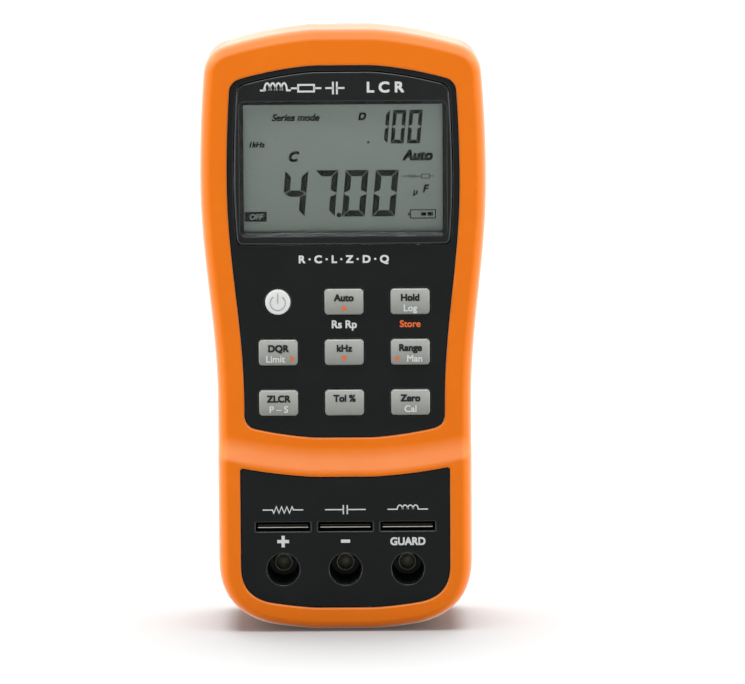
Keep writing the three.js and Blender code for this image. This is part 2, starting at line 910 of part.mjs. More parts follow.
add(
  "battery_snap",
  cut(
    block([-12.5, 3, BATTERY.top + FIT], [12.5, 16, SNAP_Z + 1.6]),
    ...TERMINALS.map((x) => terminal(x, 3.1, 2.7)),
  ),
  rubber,
);
for (const [name, x, color] of [
  ["positive", 3, 0xb01c18],
  ["negative", -3, 0x151515],
]) {
  const route = new THREE.CatmullRomCurve3([
    new THREE.Vector3(x, 8, SNAP_Z + 1.6 + 0.3),
    new THREE.Vector3(x, 6.2, 96.6),
    new THREE.Vector3(x, 3.4, 99.6),
    new THREE.Vector3(x, BOARD_BACK + 0.5, 104.5),
  ]);
  const round = new THREE.Shape();
  round.absarc(0, 0, 0.6, 0, 2 * Math.PI);
  add(
    "battery_lead_" + name,
    solid(
      new THREE.ExtrudeGeometry(round, { extrudePath: route, steps: 10, curveSegments: 5 }),
    ),
    finish(color, 0.5),
  );
}

// ---- Screws: a panhead on a plain shank, with a cross recess ----
function screw(x, z, { head, headHeight, shank, from, to }) {
  const recess = [
    block([x - head * 0.6, from - 0.6, z - 0.3], [x + head * 0.6, from + 1, z + 0.3]),
    block([x - 0.3, from - 0.6, z - head * 0.6], [x + 0.3, from + 1, z + head * 0.6]),
  ];
  return cut(
    join(
      rod(x, z, head, from - headHeight, from, 14),
      rod(x, z, shank, to, from - headHeight + 0.2, 8),
    ),
    ...recess,
  );
}
for (const [place, x, z] of CASE_SCREWS)
  add(
    "case_screw_" + place,
    screw(x, z, {
      head: 2.6,
      headHeight: 1.9,
      shank: 1.35,
      from: HEAD_SEAT + 0.1 + 1.9,
      to: -9.5,
    }),
    steel,
  );
for (const [place, x, z] of BOARD_SCREWS)
  add(
    "board_screw_" + place,
    screw(x, z, {
      head: 2.3,
      headHeight: 1.6,
      shank: 1.1,
      from: BOARD_BACK + 0.1 + 1.6,
      to: -8,
    }),
    steel,
  );
for (const [place, z] of COVER_SCREWS)
  add(
    "cover_screw_" + place,
    screw(0, z, {
      head: 2.3,
      headHeight: 0.9,
      shank: 1.1,
      from: COVER_SEAT + 0.9 + 0.1 + 0.9,
      to: 11,
    }),
    steel,
  );

// ---- Fold-out stand ----
// The legs end in a half round about the axis, so they turn inside their recess.
const legTop = across(STAND.thick / 2, STAND.outer, 20);
const standFrame = prism(
  [
    [-STAND.outer, STAND.foot + 2],
    [-STAND.outer + 2, STAND.foot],
    [STAND.outer - 2, STAND.foot],
    [STAND.outer, STAND.foot + 2],
    [STAND.outer, STAND_AXIS_Z],
    [STAND.inner, STAND_AXIS_Z],
    [STAND.inner, STAND.footTop],
    [-STAND.inner, STAND.footTop],
    [-STAND.inner, STAND_AXIS_Z],
    [-STAND.outer, STAND_AXIS_Z],
  ],
  STAND_AXIS_Y - STAND.thick / 2,
  STAND_FACE,
);
const PAD = { half: 13, low: STAND.foot + 1.8, high: STAND.footTop - 1.8, deep: 0.8 };
add(
  "tilt_stand",
  cut(
    join(
      standFrame,
      cut(legTop, block([-STAND.inner, 0, 0], [STAND.inner, FAR, HEIGHT])),
      cut(
        across(TRUNNION.radius, STAND.outer + TRUNNION.length),
        block([-STAND.outer + 1, 0, 0], [STAND.outer - 1, FAR, HEIGHT]),
      ),
    ),
    block([-PAD.half, STAND_FACE - PAD.deep, PAD.low], [PAD.half, FAR, PAD.high]),
  ),
  blackPlastic,
);
add(
  "stand_pad",
  block(
    [-PAD.half + FIT, STAND_FACE - PAD.deep + 0.05, PAD.low + FIT],
    [PAD.half - FIT, STAND_FACE + 0.1, PAD.high - FIT],
  ),
  rubber,
);

add(
  "rear_label",
  prism(roundedBox(0, 137, 44, 24, 2), REAR_FACE + 0.02, REAR_FACE + 0.17),
  finish(0xc8c8c4, 0.5, 0.2),
);

parts.name = "lcr_meter";
export default parts;
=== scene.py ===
import math

import bmesh
import bpy
from mathutils import Matrix, Vector


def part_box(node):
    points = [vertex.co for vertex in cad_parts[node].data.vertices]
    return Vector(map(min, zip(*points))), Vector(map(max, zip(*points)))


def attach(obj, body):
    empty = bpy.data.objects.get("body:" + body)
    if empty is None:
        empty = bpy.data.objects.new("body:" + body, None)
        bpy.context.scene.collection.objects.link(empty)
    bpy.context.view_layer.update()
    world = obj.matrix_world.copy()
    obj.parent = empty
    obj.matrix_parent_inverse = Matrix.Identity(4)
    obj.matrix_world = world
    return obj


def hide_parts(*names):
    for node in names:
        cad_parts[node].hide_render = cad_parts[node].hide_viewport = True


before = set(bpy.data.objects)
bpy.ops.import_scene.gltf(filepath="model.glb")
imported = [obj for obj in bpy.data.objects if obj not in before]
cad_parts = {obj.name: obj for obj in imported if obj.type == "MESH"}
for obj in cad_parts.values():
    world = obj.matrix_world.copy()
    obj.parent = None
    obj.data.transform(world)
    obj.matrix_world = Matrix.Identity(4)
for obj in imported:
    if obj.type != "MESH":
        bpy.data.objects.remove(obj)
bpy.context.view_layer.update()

# ---- Front skin ----
# The soft orange skin is rubber moulded over the hard front half. It wraps the sides and the front's rim,
# steps forward in a smile-shaped shoulder above the jack end, and ends in a rounded lip round each panel.

MM = 0.001
AHEAD = Vector((0, -1, 0))
head_low, head_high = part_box("front_overmould")
HEIGHT = head_high[2] / MM
HEAD_HALF = 43.5
HEAD_TAPER = 780
GRIP_HALF = 38.8
SWELL_LOW = 70
SWELL_HIGH = 138
END_FLAT = 9
FOOT_BOW, TOP_BOW = 1 / 260, 1 / 242
FOOT_CORNER, TOP_CORNER = 16, 6.4
PARTING_FRONT = head_high[1] / MM
JACK_FACE = head_low[1] / MM
KEY_FACE = JACK_FACE + 3.5
SHOULDER_Z = 50
SHOULDER_RUN = 7.5
SMILE = 1 / 330
PANEL_TOP_BOW = 1 / 222
EDGE_ACROSS = 3.4
EDGE_DEEP = 6.5
LIP = 0.7


def half_width(z):
    """Half the meter's width at a height: a straight grip that swells to the display end."""
    if z <= SWELL_LOW:
        return GRIP_HALF
    if z >= SWELL_HIGH:
        return HEAD_HALF - (z - SWELL_HIGH) ** 2 / HEAD_TAPER
    share = (z - SWELL_LOW) / (SWELL_HIGH - SWELL_LOW)
    return GRIP_HALF + (HEAD_HALF - GRIP_HALF) * (1 - math.cos(math.pi * share)) / 2


def bowed(x):
    """How far a bowed end has curved away at x, before its bow's rate. Its middle stretch is flat."""
    return max(0, x * x - END_FLAT**2)


def outline(inset, bottom, top, bottom_bow, top_bow, low_corner, high_corner, stops=(), spacing=2.5):
    """A closed outline [(x, z)] with bowed ends and rounded corners, run anticlockwise from the lower
    middle. It has a point at each of the stops, which are heights up its sides."""

    def end(x, at, bow):
        return at + bow * bowed(x)

    def corner(at, bow, size, up):
        x = half_width(at) - inset
        for _ in range(4):
            x = half_width(end(x, at, bow)) - inset
        tip = Vector((x, end(x, at, bow)))
        start = Vector((x - size, end(x - size, at, bow)))
        side = tip.y + up * size
        finish = Vector((half_width(side) - inset, side))
        steps = 12
        return [
            start.lerp(tip, k / steps).lerp(tip.lerp(finish, k / steps), k / steps)
            for k in range(steps + 1)
        ]

    low = corner(bottom, bottom_bow, low_corner, 1)
    high = corner(top, -top_bow, high_corner, -1)[::-1]
    points = []
    count = max(2, int(low[0].x / spacing))
    points += [(low[0].x * k / count, end(low[0].x * k / count, bottom, bottom_bow)) for k in range(count)]
    points += [tuple(p) for p in low]
    heights = [z for z in stops if low[-1].y < z < high[0].y]
    z = low[-1].y + spacing
    while z < high[0].y - spacing / 2:
        if all(abs(z - stop) > spacing * 0.7 for stop in heights) and not (
            stops and stops[0] < z < stops[-1]
        ):
            heights.append(z)
        z += spacing
    points += [(half_width(z) - inset, z) for z in sorted(heights)]
    points += [tuple(p) for p in high]
    count = max(2, int(high[-1].x / spacing))
    points += [
        (high[-1].x * (1 - k / count), end(high[-1].x * (1 - k / count), top, -top_bow))
        for k in range(1, count + 1)
    ]
    return points + [(-x, z) for x, z in points[-2:0:-1]]


def offset(loop, distance):
    """Moves an anticlockwise outline outwards, or inwards by a negative distance."""
    moved = []
    for k, (x, z) in enumerate(loop):
        before = Vector(loop[k - 1])
        after = Vector(loop[(k + 1) % len(loop)])
        along = (after - before).normalized()
        moved.append((x + along.y * distance, z - along.x * distance))
    return moved


def at_depth(loop, y):
    """An outline's points at one depth, in metres."""
    return [Vector((x, y, z)) * MM for x, z in loop]


def chain(bm, points, closed=True):
    """Edges through points, each marked with its place in the chain."""
    mark = bm.verts.layers.int.get("place") or bm.verts.layers.int.new("place")
    verts = [bm.verts.new(p) for p in points]
    for place, vert in enumerate(verts):
        vert[mark] = place
    return [bm.edges.new((verts[k - 1], verts[k])) for k in range(0 if closed else 1, len(verts))]


def band(bm, edges, points):
    """Carries a chain on to new points, with a strip of faces between, and returns the new chain."""
    mark = bm.verts.layers.int["place"]
    made = bmesh.ops.extrude_edge_only(bm, edges=edges)["geom"]
    for vert in (g for g in made if isinstance(g, bmesh.types.BMVert)):
        vert.co = points[vert[mark]]
    return [g for g in made if isinstance(g, bmesh.types.BMEdge)]


def fill(bm, edges, normal=AHEAD):
    """Fills flat outlines with faces, and leaves the outlines inside others open."""
    bmesh.ops.triangle_fill(bm, use_beauty=True, use_dissolve=False, edges=edges, normal=normal)


LIP_STEPS = 4


def lip(bm, loop, y, radius, depth, outwards=1, place=at_depth):
    """The rounded edge of an opening, or of a plate when outwards is -1, and the wall behind it.
    Returns the chain where the flat face starts and the chain where the wall ends."""
    edge = chain(bm, place(offset(loop, outwards * radius), y))
    rim = edge
    back = 1 if depth > 0 else -1
    for k in range(1, LIP_STEPS + 1):
        turn = k / LIP_STEPS * math.pi / 2
        grown = offset(loop, outwards * radius * (1 - math.sin(turn)))
        edge = band(bm, edge, place(grown, y + back * radius * (1 - math.cos(turn))))
    return rim, band(bm, edge, place(loop, y + depth))


def make_piece(name, bm, finishes, body="meter", nodes=(), wall=0, recalculate=True):
    """Turns a bmesh into a finished piece that rides on its body and stands for its CAD nodes."""
    bmesh.ops.remove_doubles(bm, verts=bm.verts, dist=1e-6)
    if recalculate:
        bmesh.ops.recalc_face_normals(bm, faces=bm.faces)
    mesh = bpy.data.meshes.new(name)
    bm.to_mesh(mesh)
    bm.free()
    for one in finishes:
        mesh.materials.append(one.material)
    mesh.shade_smooth()
    mesh.set_sharp_from_angle(angle=math.radians(40))
    piece = bpy.data.objects.new(name, mesh)
    bpy.context.collection.objects.link(piece)
    if wall:
        skin = piece.modifiers.new("wall", "SOLIDIFY")
        skin.thickness = wall * MM
        skin.offset = -1
    even = piece.modifiers.new("even_shading", "WEIGHTED_NORMAL")
    even.keep_sharp = True
    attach(piece, body)
    if nodes:
        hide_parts(*nodes)


class Value:
    """A shader socket that takes part in Python's own arithmetic."""

    def __init__(self, finish, socket):
        self.finish = finish
        self.socket = socket

    def _math(self, operation, first, second):
        return self.finish.node("Math", {"operation": operation}, {0: first, 1: second})

    def __add__(self, other):
        return self._math("ADD", self, other)

    __radd__ = __add__

    def __sub__(self, other):
        return self._math("SUBTRACT", self, other)

    def __rsub__(self, other):
        return self._math("SUBTRACT", other, self)

    def __mul__(self, other):
        return self._math("MULTIPLY", self, other)

    __rmul__ = __mul__


class Finish:
    """A material on the Principled shader, built from nodes."""

    def __init__(self, name, **uniform):
        self.material = bpy.data.materials.new(name)
        self.material.use_nodes = True
        self.tree = self.material.node_tree
        self.shader = self.tree.nodes["Principled BSDF"]
        for socket, value in uniform.items():
            self.shader.inputs[socket.replace("_", " ")].default_value = value
        self.place = self.node("TexCoord", {}, {}, "Object")

    def node(self, kind, settings, inputs, output=0):
        made = self.tree.nodes.new("ShaderNode" + kind)
        for setting, value in settings.items():
            if setting == "stops":
                ramp = made.color_ramp
                for stop, (position, color) in zip(
                    list(ramp.elements) + [ramp.elements.new(0.5) for _ in value[2:]], value
                ):
                    stop.position = position
                    stop.color = color
            else:
                setattr(made, setting, value)
        for key, value in inputs.items():
            socket = made.inputs[key]
            if isinstance(value, Value):
                self.tree.links.new(value.socket, socket)
            else:
                socket.default_value = value
        return Value(self, made.outputs[output])

    def noise(self, size, detail=2, rough=0.5, stretch=None):
        """Soft noise from 0 to 1 whose lumps are about size millimetres across."""
        place = self.place
        if stretch:
            place = self.node("Mapping", {}, {"Vector": place, "Scale": stretch})
        return self.node(
            "TexNoise",
            {},
            {"Vector": place, "Scale": 1 / (size * MM), "Detail": detail, "Roughness": rough},
        )

    def axis(self, letter):
        """The position along one axis, in metres."""
        return self.node("SeparateXYZ", {}, {"Vector": self.place}, letter)

    def ramp(self, value, low, high, to_low=0.0, to_high=1.0):
        return self.node(
            "MapRange",
            {},
            {"Value": value, "From Min": low, "From Max": high, "To Min": to_low, "To Max": to_high},
        )

    def mix(self, share, low, high):
        return self.node("Mix", {"data_type": "RGBA"}, {0: share, 6: low, 7: high}, 2)

    def set(self, socket, value):
        self.tree.links.new(value.socket, self.shader.inputs[socket])

    def bump(self, height, distance, strength=1.0):
        self.set(
            "Normal",
            self.node("Bump", {}, {"Height": height, "Distance": distance * MM, "Strength": strength}),
        )


def shade(red, green, blue):
    """A display colour from 0 to 255 as a linear colour."""
    tones = [c / 255 for c in (red, green, blue)]
    return tuple(((c + 0.055) / 1.055) ** 2.4 if c > 0.04 else c / 12.92 for c in tones) + (1,)


# A soft-touch rubber: a fine even tooth, slightly polished patches where hands hold it, a velvety sheen
# at its rims, and a pale painted highlight on faces that tilt up, weaker on the very top.
soft_orange = Finish(
    "soft_orange", Specular_IOR_Level=0.14, Sheen_Weight=1.0, Sheen_Tint=(1, 0.9, 0.78, 1),
    Sheen_Roughness=0.36,
)
clouds = soft_orange.noise(22, 3)
tooth = soft_orange.noise(0.22, 2, 0.6)
worn = soft_orange.ramp(soft_orange.noise(9, 4, 0.6), 0.55, 0.75)
base = soft_orange.mix(clouds, shade(222, 108, 0), shade(228, 114, 1))
facing = soft_orange.node("TexCoord", {}, {}, "Normal")
facing_up = soft_orange.node("SeparateXYZ", {}, {"Vector": facing}, "Z")
# Painted highlight: faces that tilt up are painted paler, the very top less so.
upward_highlight_mask = soft_orange.ramp(facing_up, 0.1, 0.5) - soft_orange.ramp(facing_up, 0.6, 1.0) * 0.75
painted_highlight = upward_highlight_mask * (0.13 + clouds * 0.1)
handled = soft_orange.mix(worn * 0.25, base, shade(234, 122, 12))
soft_orange.set("Base Color", soft_orange.mix(painted_highlight, handled, shade(252, 200, 160)))
soft_orange.set("Roughness", 0.56 + tooth * 0.1 - worn * 0.05)
soft_orange.bump(tooth, 0.03, 0.5)


def body_outline(inset, stops=()):
    """The meter's own outline, drawn in by the inset."""
    whole = outline(0, 0, HEIGHT, FOOT_BOW, TOP_BOW, FOOT_CORNER, TOP_CORNER, stops)
    return offset(whole, -inset)


SHOULDER_SOFTNESS = 0.006


def shoulder_depth(share):
    """How far back the shoulder has come, as a share of its step, at a share of its run."""
    rounded = (share + math.sqrt(share * share + SHOULDER_SOFTNESS)) / 2
    risen = min(1, rounded)
    return 2 * risen - risen * risen


ROWS = [-0.12, -0.05, 0, 0.05, 0.1, 0.16, 0.24, 0.32, 0.42, 0.52, 0.62, 0.72, 0.82, 0.92, 1.0]
row_depth = [0] + [shoulder_depth(share) for share in ROWS[1:-1]] + [1]
face_half = GRIP_HALF - EDGE_ACROSS
row_side = [SHOULDER_Z + SHOULDER_RUN * share + SMILE * bowed(face_half) for share in ROWS]


CLOSE = 1e-6


def front_face_y(z):
    """The front's depth at a height on the face ring."""
    if z < row_side[0] - CLOSE:
        return JACK_FACE
    if z > row_side[-1] + CLOSE:
        return KEY_FACE
    nearest = min(range(len(ROWS)), key=lambda row: abs(row_side[row] - z))
    return JACK_FACE + row_depth[nearest] * (KEY_FACE - JACK_FACE)


def upper_panel(inset):
    """The outline of the key and display panel's opening."""
    low, high, low_corner, high_corner, low_bow = 59.6, 173.4, 3.5, 3.2, 1 / 244
    return offset(outline(8.2, low, high, low_bow, PANEL_TOP_BOW, low_corner, high_corner), -inset)


def lower_panel(inset):
    """The outline of the jack panel's opening, whose top follows the smile of the shoulder."""
    low, high, low_corner, high_corner, low_bow = 7.4, 48, 9, 1.2, 1 / 270
    return offset(outline(6.8, low, high, low_bow, -SMILE, low_corner, high_corner, spacing=2), -inset)


bm = bmesh.new()
silhouette = body_outline(0, row_side)
depths = [front_face_y(z) for x, z in silhouette]
face_ring = [Vector((x, y, z)) * MM for (x, z), y in zip(offset(silhouette, -EDGE_ACROSS), depths)]
ring = chain(bm, face_ring)
edge = ring
EDGE_STEPS = 10
for k in range(1, EDGE_STEPS + 1):
    turn = k / EDGE_STEPS * math.pi / 2
    loop = offset(silhouette, -EDGE_ACROSS * (1 - math.sin(turn)))
    deep = EDGE_DEEP * (1 - math.cos(turn))
    edge = band(bm, edge, [Vector((x, y + deep, z)) * MM for (x, z), y in zip(loop, depths)])
# The parting edge is broken by a small round, and turns in under it: (inset, distance from the parting).
PARTING_ROUND = [(0, 0.35), (0.1, 0.1), (0.35, 0), (1.7, 0)]
for inset, short in PARTING_ROUND:
    edge = band(bm, edge, at_depth(offset(silhouette, -inset), PARTING_FRONT - short))

COLUMNS = 48


def shoulder_row(row):
    points = []
    for column in range(COLUMNS + 1):
        x = face_half * (1 - 2 * column / COLUMNS)
        z = SHOULDER_Z + SHOULDER_RUN * ROWS[row] + SMILE * bowed(x)
        y = JACK_FACE + row_depth[row] * (KEY_FACE - JACK_FACE)
        points.append(Vector((x, y, z)) * MM)
    return points


row_edge = chain(bm, shoulder_row(0), closed=False)
for row in range(1, len(ROWS)):
    row_edge = band(bm, row_edge, shoulder_row(row))
bmesh.ops.remove_doubles(bm, verts=bm.verts, dist=1e-6)

# The two flat sheets, each holding one panel opening, close the gaps below and above the shoulder.
for face, panel in ((JACK_FACE, lower_panel(0)), (KEY_FACE, upper_panel(0))):
    open_edges = [
        e for e in bm.edges
        if len(e.link_faces) == 1 and all(abs(v.co.y - face * MM) < CLOSE for v in e.verts)
    ]
    rim, _ = lip(bm, panel, face, LIP, 1.4)
    fill(bm, open_edges + rim)

# The oval dip round the power socket, in the flat of the right side.
socket_low, socket_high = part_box("power_socket")
SOCKET_Y = (socket_low[1] + socket_high[1]) / 2 / MM
SOCKET_Z = (socket_low[2] + socket_high[2]) / 2 / MM
DIP_WIDTH, DIP_HEIGHT, DIP_CORNER, DIP_DEEP = 8.4, 17, 4.1, 1.5
SIDE_LOW, SIDE_HIGH, SIDE_SLACK = 0.030, 0.0535, 0.001


def rounded_box(x, z, width, height, corner, steps=6):
    """An oblong outline with round corners."""
    points = []
    for quarter, (right, up) in enumerate(((1, 1), (-1, 1), (-1, -1), (1, -1))):
        for step in range(steps + 1):
            turn = (quarter + step / steps) * math.pi / 2
            points.append(
                (
                    x + right * (width / 2 - corner) + corner * math.cos(turn),
                    z + up * (height / 2 - corner) + corner * math.sin(turn),
                )
            )
    return points


def on_right_side(loop, deep):
    """An outline's points in the flat of the right side, sunk by a depth."""
    return [Vector((GRIP_HALF - deep, y, z)) * MM for y, z in loop]


def beside_socket(element, slack=0.0):
    """Whether a face or an edge lies in the flat of the right side, between two heights."""
    return all(
        abs(v.co.x - GRIP_HALF * MM) < CLOSE and SIDE_LOW - slack < v.co.z < SIDE_HIGH + slack
        for v in element.verts
    )


side_faces = [f for f in bm.faces if beside_socket(f)]
bmesh.ops.delete(bm, geom=side_faces, context="FACES")
gap = [e for e in bm.edges if len(e.link_faces) == 1 and beside_socket(e, SIDE_SLACK)]
dip = rounded_box(SOCKET_Y, SOCKET_Z, DIP_WIDTH, DIP_HEIGHT, DIP_CORNER)
rim, _ = lip(bm, dip, 0, 0.5, DIP_DEEP, place=on_right_side)
fill(bm, gap + rim, Vector((1, 0, 0)))
SKIN_WALL = 0.9
make_piece("front_skin", bm, [soft_orange], nodes=["front_overmould"], wall=SKIN_WALL)

# ---- Key panel and jack panel ----
# Both panels are the hard black front half showing through the skin, moulded with a fine spark-eroded
# grain. The key panel is pierced for the display and nine keys, the jack panel for three slots and wells.

PANEL_DROP = 0.2
KEY_PANEL_Y = KEY_FACE + PANEL_DROP
JACK_PANEL_Y = JACK_FACE + PANEL_DROP
PANEL_THICK = 2.6
KEY_GAP = 0.3


def middle(node):
    """The middle of a CAD node seen from the front, as x and z."""
    low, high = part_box(node)
    return (low[0] + high[0]) / 2 / MM, (low[2] + high[2]) / 2 / MM


def circle(x, z, radius, steps=48):
    """A round outline."""
    return [
        (x + radius * math.cos(2 * math.pi * k / steps), z + radius * math.sin(2 * math.pi * k / steps))
        for k in range(steps)
    ]


KEY_WIDTH, KEY_HEIGHT, KEY_CORNER = 11.9, 7.9, 1.1
POWER_RADIUS = 3.85
KEYS = ["power", "auto", "hold", "phase", "frequency", "range", "mode", "tolerance", "zero"]
JACKS = ["positive", "negative", "guard"]


def key_outline(key, growth=0.0):
    """A key cap's outline, grown all round by a distance."""
    x, z = middle("key_" + key)
    if key == "power":
        return circle(x, z, POWER_RADIUS + growth)
    width, height = KEY_WIDTH + 2 * growth, KEY_HEIGHT + 2 * growth
    return rounded_box(x, z, width, height, max(0.2, KEY_CORNER + growth))


def plate(bm, outer, holes, front, back, edge=0.25, hole_edge=0.15):
    """A plate with its front edges rounded. Its holes' edges and walls take the piece's second finish."""
    front_rims, back_rims = [], []
    way = 1 if back > front else -1
    for loop, radius, outwards in [(outer, edge, -1)] + [(hole, hole_edge, 1) for hole in holes]:
        before = len(bm.faces)
        rim, end = lip(bm, loop, front, radius, back - front, outwards)
        front_rims += rim
        back_rims += end
        bm.faces.ensure_lookup_table()
        for face in bm.faces[before:]:
            face.material_index = 1 if outwards > 0 else 0
    fill(bm, front_rims, AHEAD * way)
    fill(bm, back_rims, AHEAD * -way)


def black_plastic(name, grain=0.35, gloss=0.46, tone=(17, 19, 19), shine=0.12):
    """Moulded black plastic: a fine grain, faint flow marks and a little rubbed shine."""
    finish = Finish(name, Specular_IOR_Level=shine)
    pits = finish.noise(grain, 2, 0.65)
    rubbed = finish.noise(11, 3, 0.6)
    red, green, blue = tone
    finish.set(
        "Base Color",
        finish.mix(rubbed, shade(red - 3, green - 3, blue - 3), shade(red + 5, green + 5, blue + 6)),
    )
    finish.set("Roughness", gloss + pits * 0.12 - rubbed * 0.08)
    finish.bump(pits, 0.02, 0.5)
    return finish


panel_black = black_plastic("panel_black")
edge_black = black_plastic("edge_black", 0.5, 0.22, (18, 20, 20), 0.5)
case_black = black_plastic("case_black", 0.5, 0.5, (24, 25, 26), 0.3)

bezel_low, bezel_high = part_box("display_bezel")
DISPLAY_Z = middle("display_window")[1]
BEZEL_FIT, BEZEL_EDGE = 0.2, 0.55
BEZEL_INSET, BEZEL_BOTTOM_BOW = 10.2, 1 / 6000
BEZEL_LOW_CORNER, BEZEL_HIGH_CORNER = 2, 2.6


def bezel_outline(inset):
    """The bezel's outline, whose top follows the panel's."""
    top = bezel_high[2] / MM + BEZEL_FIT
    bottom = bezel_low[2] / MM - BEZEL_FIT
    bows = (BEZEL_BOTTOM_BOW, PANEL_TOP_BOW)
    corners = (BEZEL_LOW_CORNER, BEZEL_HIGH_CORNER)
    return offset(outline(BEZEL_INSET, bottom, top, *bows, *corners), -inset)


bm = bmesh.new()
plate(
    bm,
    upper_panel(0.15),
    [bezel_outline(-0.05)] + [key_outline(key, KEY_GAP) for key in KEYS],
    KEY_PANEL_Y,
    KEY_PANEL_Y + PANEL_THICK,
    edge=0.3,
    hole_edge=0.2,
)
SLOT_WIDTH, SLOT_HEIGHT = 16.6, 2.8
WELL_RADIUS = 4.9
slots = [middle("slot_contact_" + jack) for jack in JACKS]
wells = [middle("jack_" + jack) for jack in JACKS]
JACK_PANEL_BACK = JACK_PANEL_Y + PANEL_THICK
plate(
    bm,
    lower_panel(0.15),
    [rounded_box(x, z, SLOT_WIDTH, SLOT_HEIGHT, 0.25, 3) for x, z in slots]
    + [circle(x, z, WELL_RADIUS) for x, z in wells],
    JACK_PANEL_Y,
    JACK_PANEL_BACK,
    edge=0.45,
    hole_edge=0.35,
)

# The rest of the hard front half is a hidden wall round both panels.
inner = body_outline(2.2)
FLANGE_Y = KEY_PANEL_Y + PANEL_THICK + 0.1
ring = chain(bm, at_depth(inner, FLANGE_Y))
panels = [chain(bm, at_depth(panel(0.3), FLANGE_Y)) for panel in (lower_panel, upper_panel)]
fill(bm, ring + panels[0] + panels[1])
band(bm, ring, at_depth(inner, PARTING_FRONT - 0.2))

# A thin tongue inside the wall closes the seam between the halves.
TONGUE_IN, TONGUE_OUT, TONGUE_FRONT, TONGUE_BACK = 4.5, 4.15, -3.4, 2
ring = chain(bm, at_depth(body_outline(TONGUE_IN), TONGUE_FRONT))
edge = ring
for inset, y in ((TONGUE_OUT, TONGUE_FRONT), (TONGUE_OUT, TONGUE_BACK), (TONGUE_IN, TONGUE_BACK)):
    edge = band(bm, edge, at_depth(body_outline(inset), y))
band(bm, edge, at_depth(body_outline(TONGUE_IN), TONGUE_FRONT))
make_piece("front_panels", bm, [panel_black, edge_black], nodes=["front_case"])

# A thin raised frame is moulded round each slot.
bm = bmesh.new()
for x, z in slots:
    plate(
        bm,
        rounded_box(x, z, SLOT_WIDTH + 1.7, SLOT_HEIGHT + 1.5, 0.6, 4),
        [rounded_box(x, z, SLOT_WIDTH + 0.7, SLOT_HEIGHT + 0.5, 0.3, 4)],
        JACK_PANEL_Y - 0.12,
        JACK_PANEL_Y + 0.1,
        edge=0.1,
        hole_edge=0.1,
    )
make_piece("slot_frames", bm, [panel_black, edge_black])

# ---- Plug wells, jacks and slot contacts ----
# One black block behind the panel shrouds the plugs. In each well stands a nickel-plated sleeve for a
# 4 mm plug, sunk in an insulating collar, and behind each slot two sheet-metal leaves nearly meet.


def softened(node, finish, width, body="meter", segments=2, upper=None):
    """A CAD node's own shape with its edges rounded, which takes the node's place.
    Where a second finish is given, it covers the upper half."""
    bm = bmesh.new()
    bm.from_mesh(bpy.data.objects[node].data)
    bmesh.ops.remove_doubles(bm, verts=bm.verts, dist=2e-6)
    bmesh.ops.dissolve_limit(bm, angle_limit=math.radians(2), verts=bm.verts, edges=bm.edges)
    sharp = [e for e in bm.edges if len(e.link_faces) == 2 and e.calc_face_angle() > math.radians(35)]
    bmesh.ops.bevel(
        bm, geom=sharp, offset=width * MM, offset_type="OFFSET", affect="EDGES", segments=segments,
        profile=0.5, material=-1, clamp_overlap=True,
    )
    finishes = [finish]
    if upper:
        finishes.append(upper)
        low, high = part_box(node)
        for face in bm.faces:
            face.material_index = int(face.calc_center_median().z > (low[2] + high[2]) / 2)
    make_piece(node + "_shaped", bm, finishes, body, [node], recalculate=False)


WELL_WALL, WELL_FLOOR, COLLAR_RADIUS = 1.1, 1.2, 3.0
WELL_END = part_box("terminal_block")[1][1] / MM - WELL_FLOOR
jack_low, jack_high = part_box("jack_negative")
bm = bmesh.new()
for x, z in wells:
    well = chain(bm, at_depth(circle(x, z, WELL_RADIUS), JACK_PANEL_BACK + 0.05))
    shell = band(bm, well, at_depth(circle(x, z, WELL_RADIUS + WELL_WALL), JACK_PANEL_BACK + 0.05))
    shell = band(bm, shell, at_depth(circle(x, z, WELL_RADIUS + WELL_WALL), WELL_END + WELL_FLOOR))
    well = band(bm, well, at_depth(circle(x, z, WELL_RADIUS - 0.05), WELL_END - 0.5))
    well = band(bm, well, at_depth(circle(x, z, WELL_RADIUS - 0.5), WELL_END))
    well = band(bm, well, at_depth(circle(x, z, COLLAR_RADIUS), WELL_END))
    band(bm, well, at_depth(circle(x, z, COLLAR_RADIUS), WELL_END + WELL_FLOOR))
    fill(bm, shell + [e for e in bm.edges if len(e.link_faces) == 1 and e not in shell])
make_piece("plug_wells", bm, [case_black], nodes=["terminal_block"])


def metal(name, tone, rough=0.25):
    """Plated metal with faint tarnish and fine drawing marks."""
    finish = Finish(name, Metallic=1.0)
    tarnish = finish.noise(3, 4, 0.6)
    marks = finish.noise(0.4, 2, 0.5, stretch=(1, 6, 1))
    dark = tuple(c * 0.7 for c in shade(*tone)[:3]) + (1,)
    finish.set("Base Color", finish.mix(tarnish, dark, shade(*tone)))
    finish.set("Roughness", rough + marks * 0.15)
    finish.bump(marks, 0.01, 0.3)
    return finish


nickel = metal("nickel_plate", (190, 188, 180))
JACK_FRONT = jack_low[1] / MM
JACK_BACK = jack_high[1] / MM


def turned(bm, x, z, profile):
    """A piece turned about an axis along Y, from a profile of (radius, y)."""
    verts = [bm.verts.new(Vector((x + radius, y, z)) * MM) for radius, y in profile]
    edges = [bm.edges.new(pair) for pair in zip(verts, verts[1:])]
    bmesh.ops.spin(
        bm, geom=verts + edges, cent=Vector((x, 0, z)) * MM, axis=(0, 1, 0), angle=2 * math.pi,
        steps=48, use_merge=True,
    )


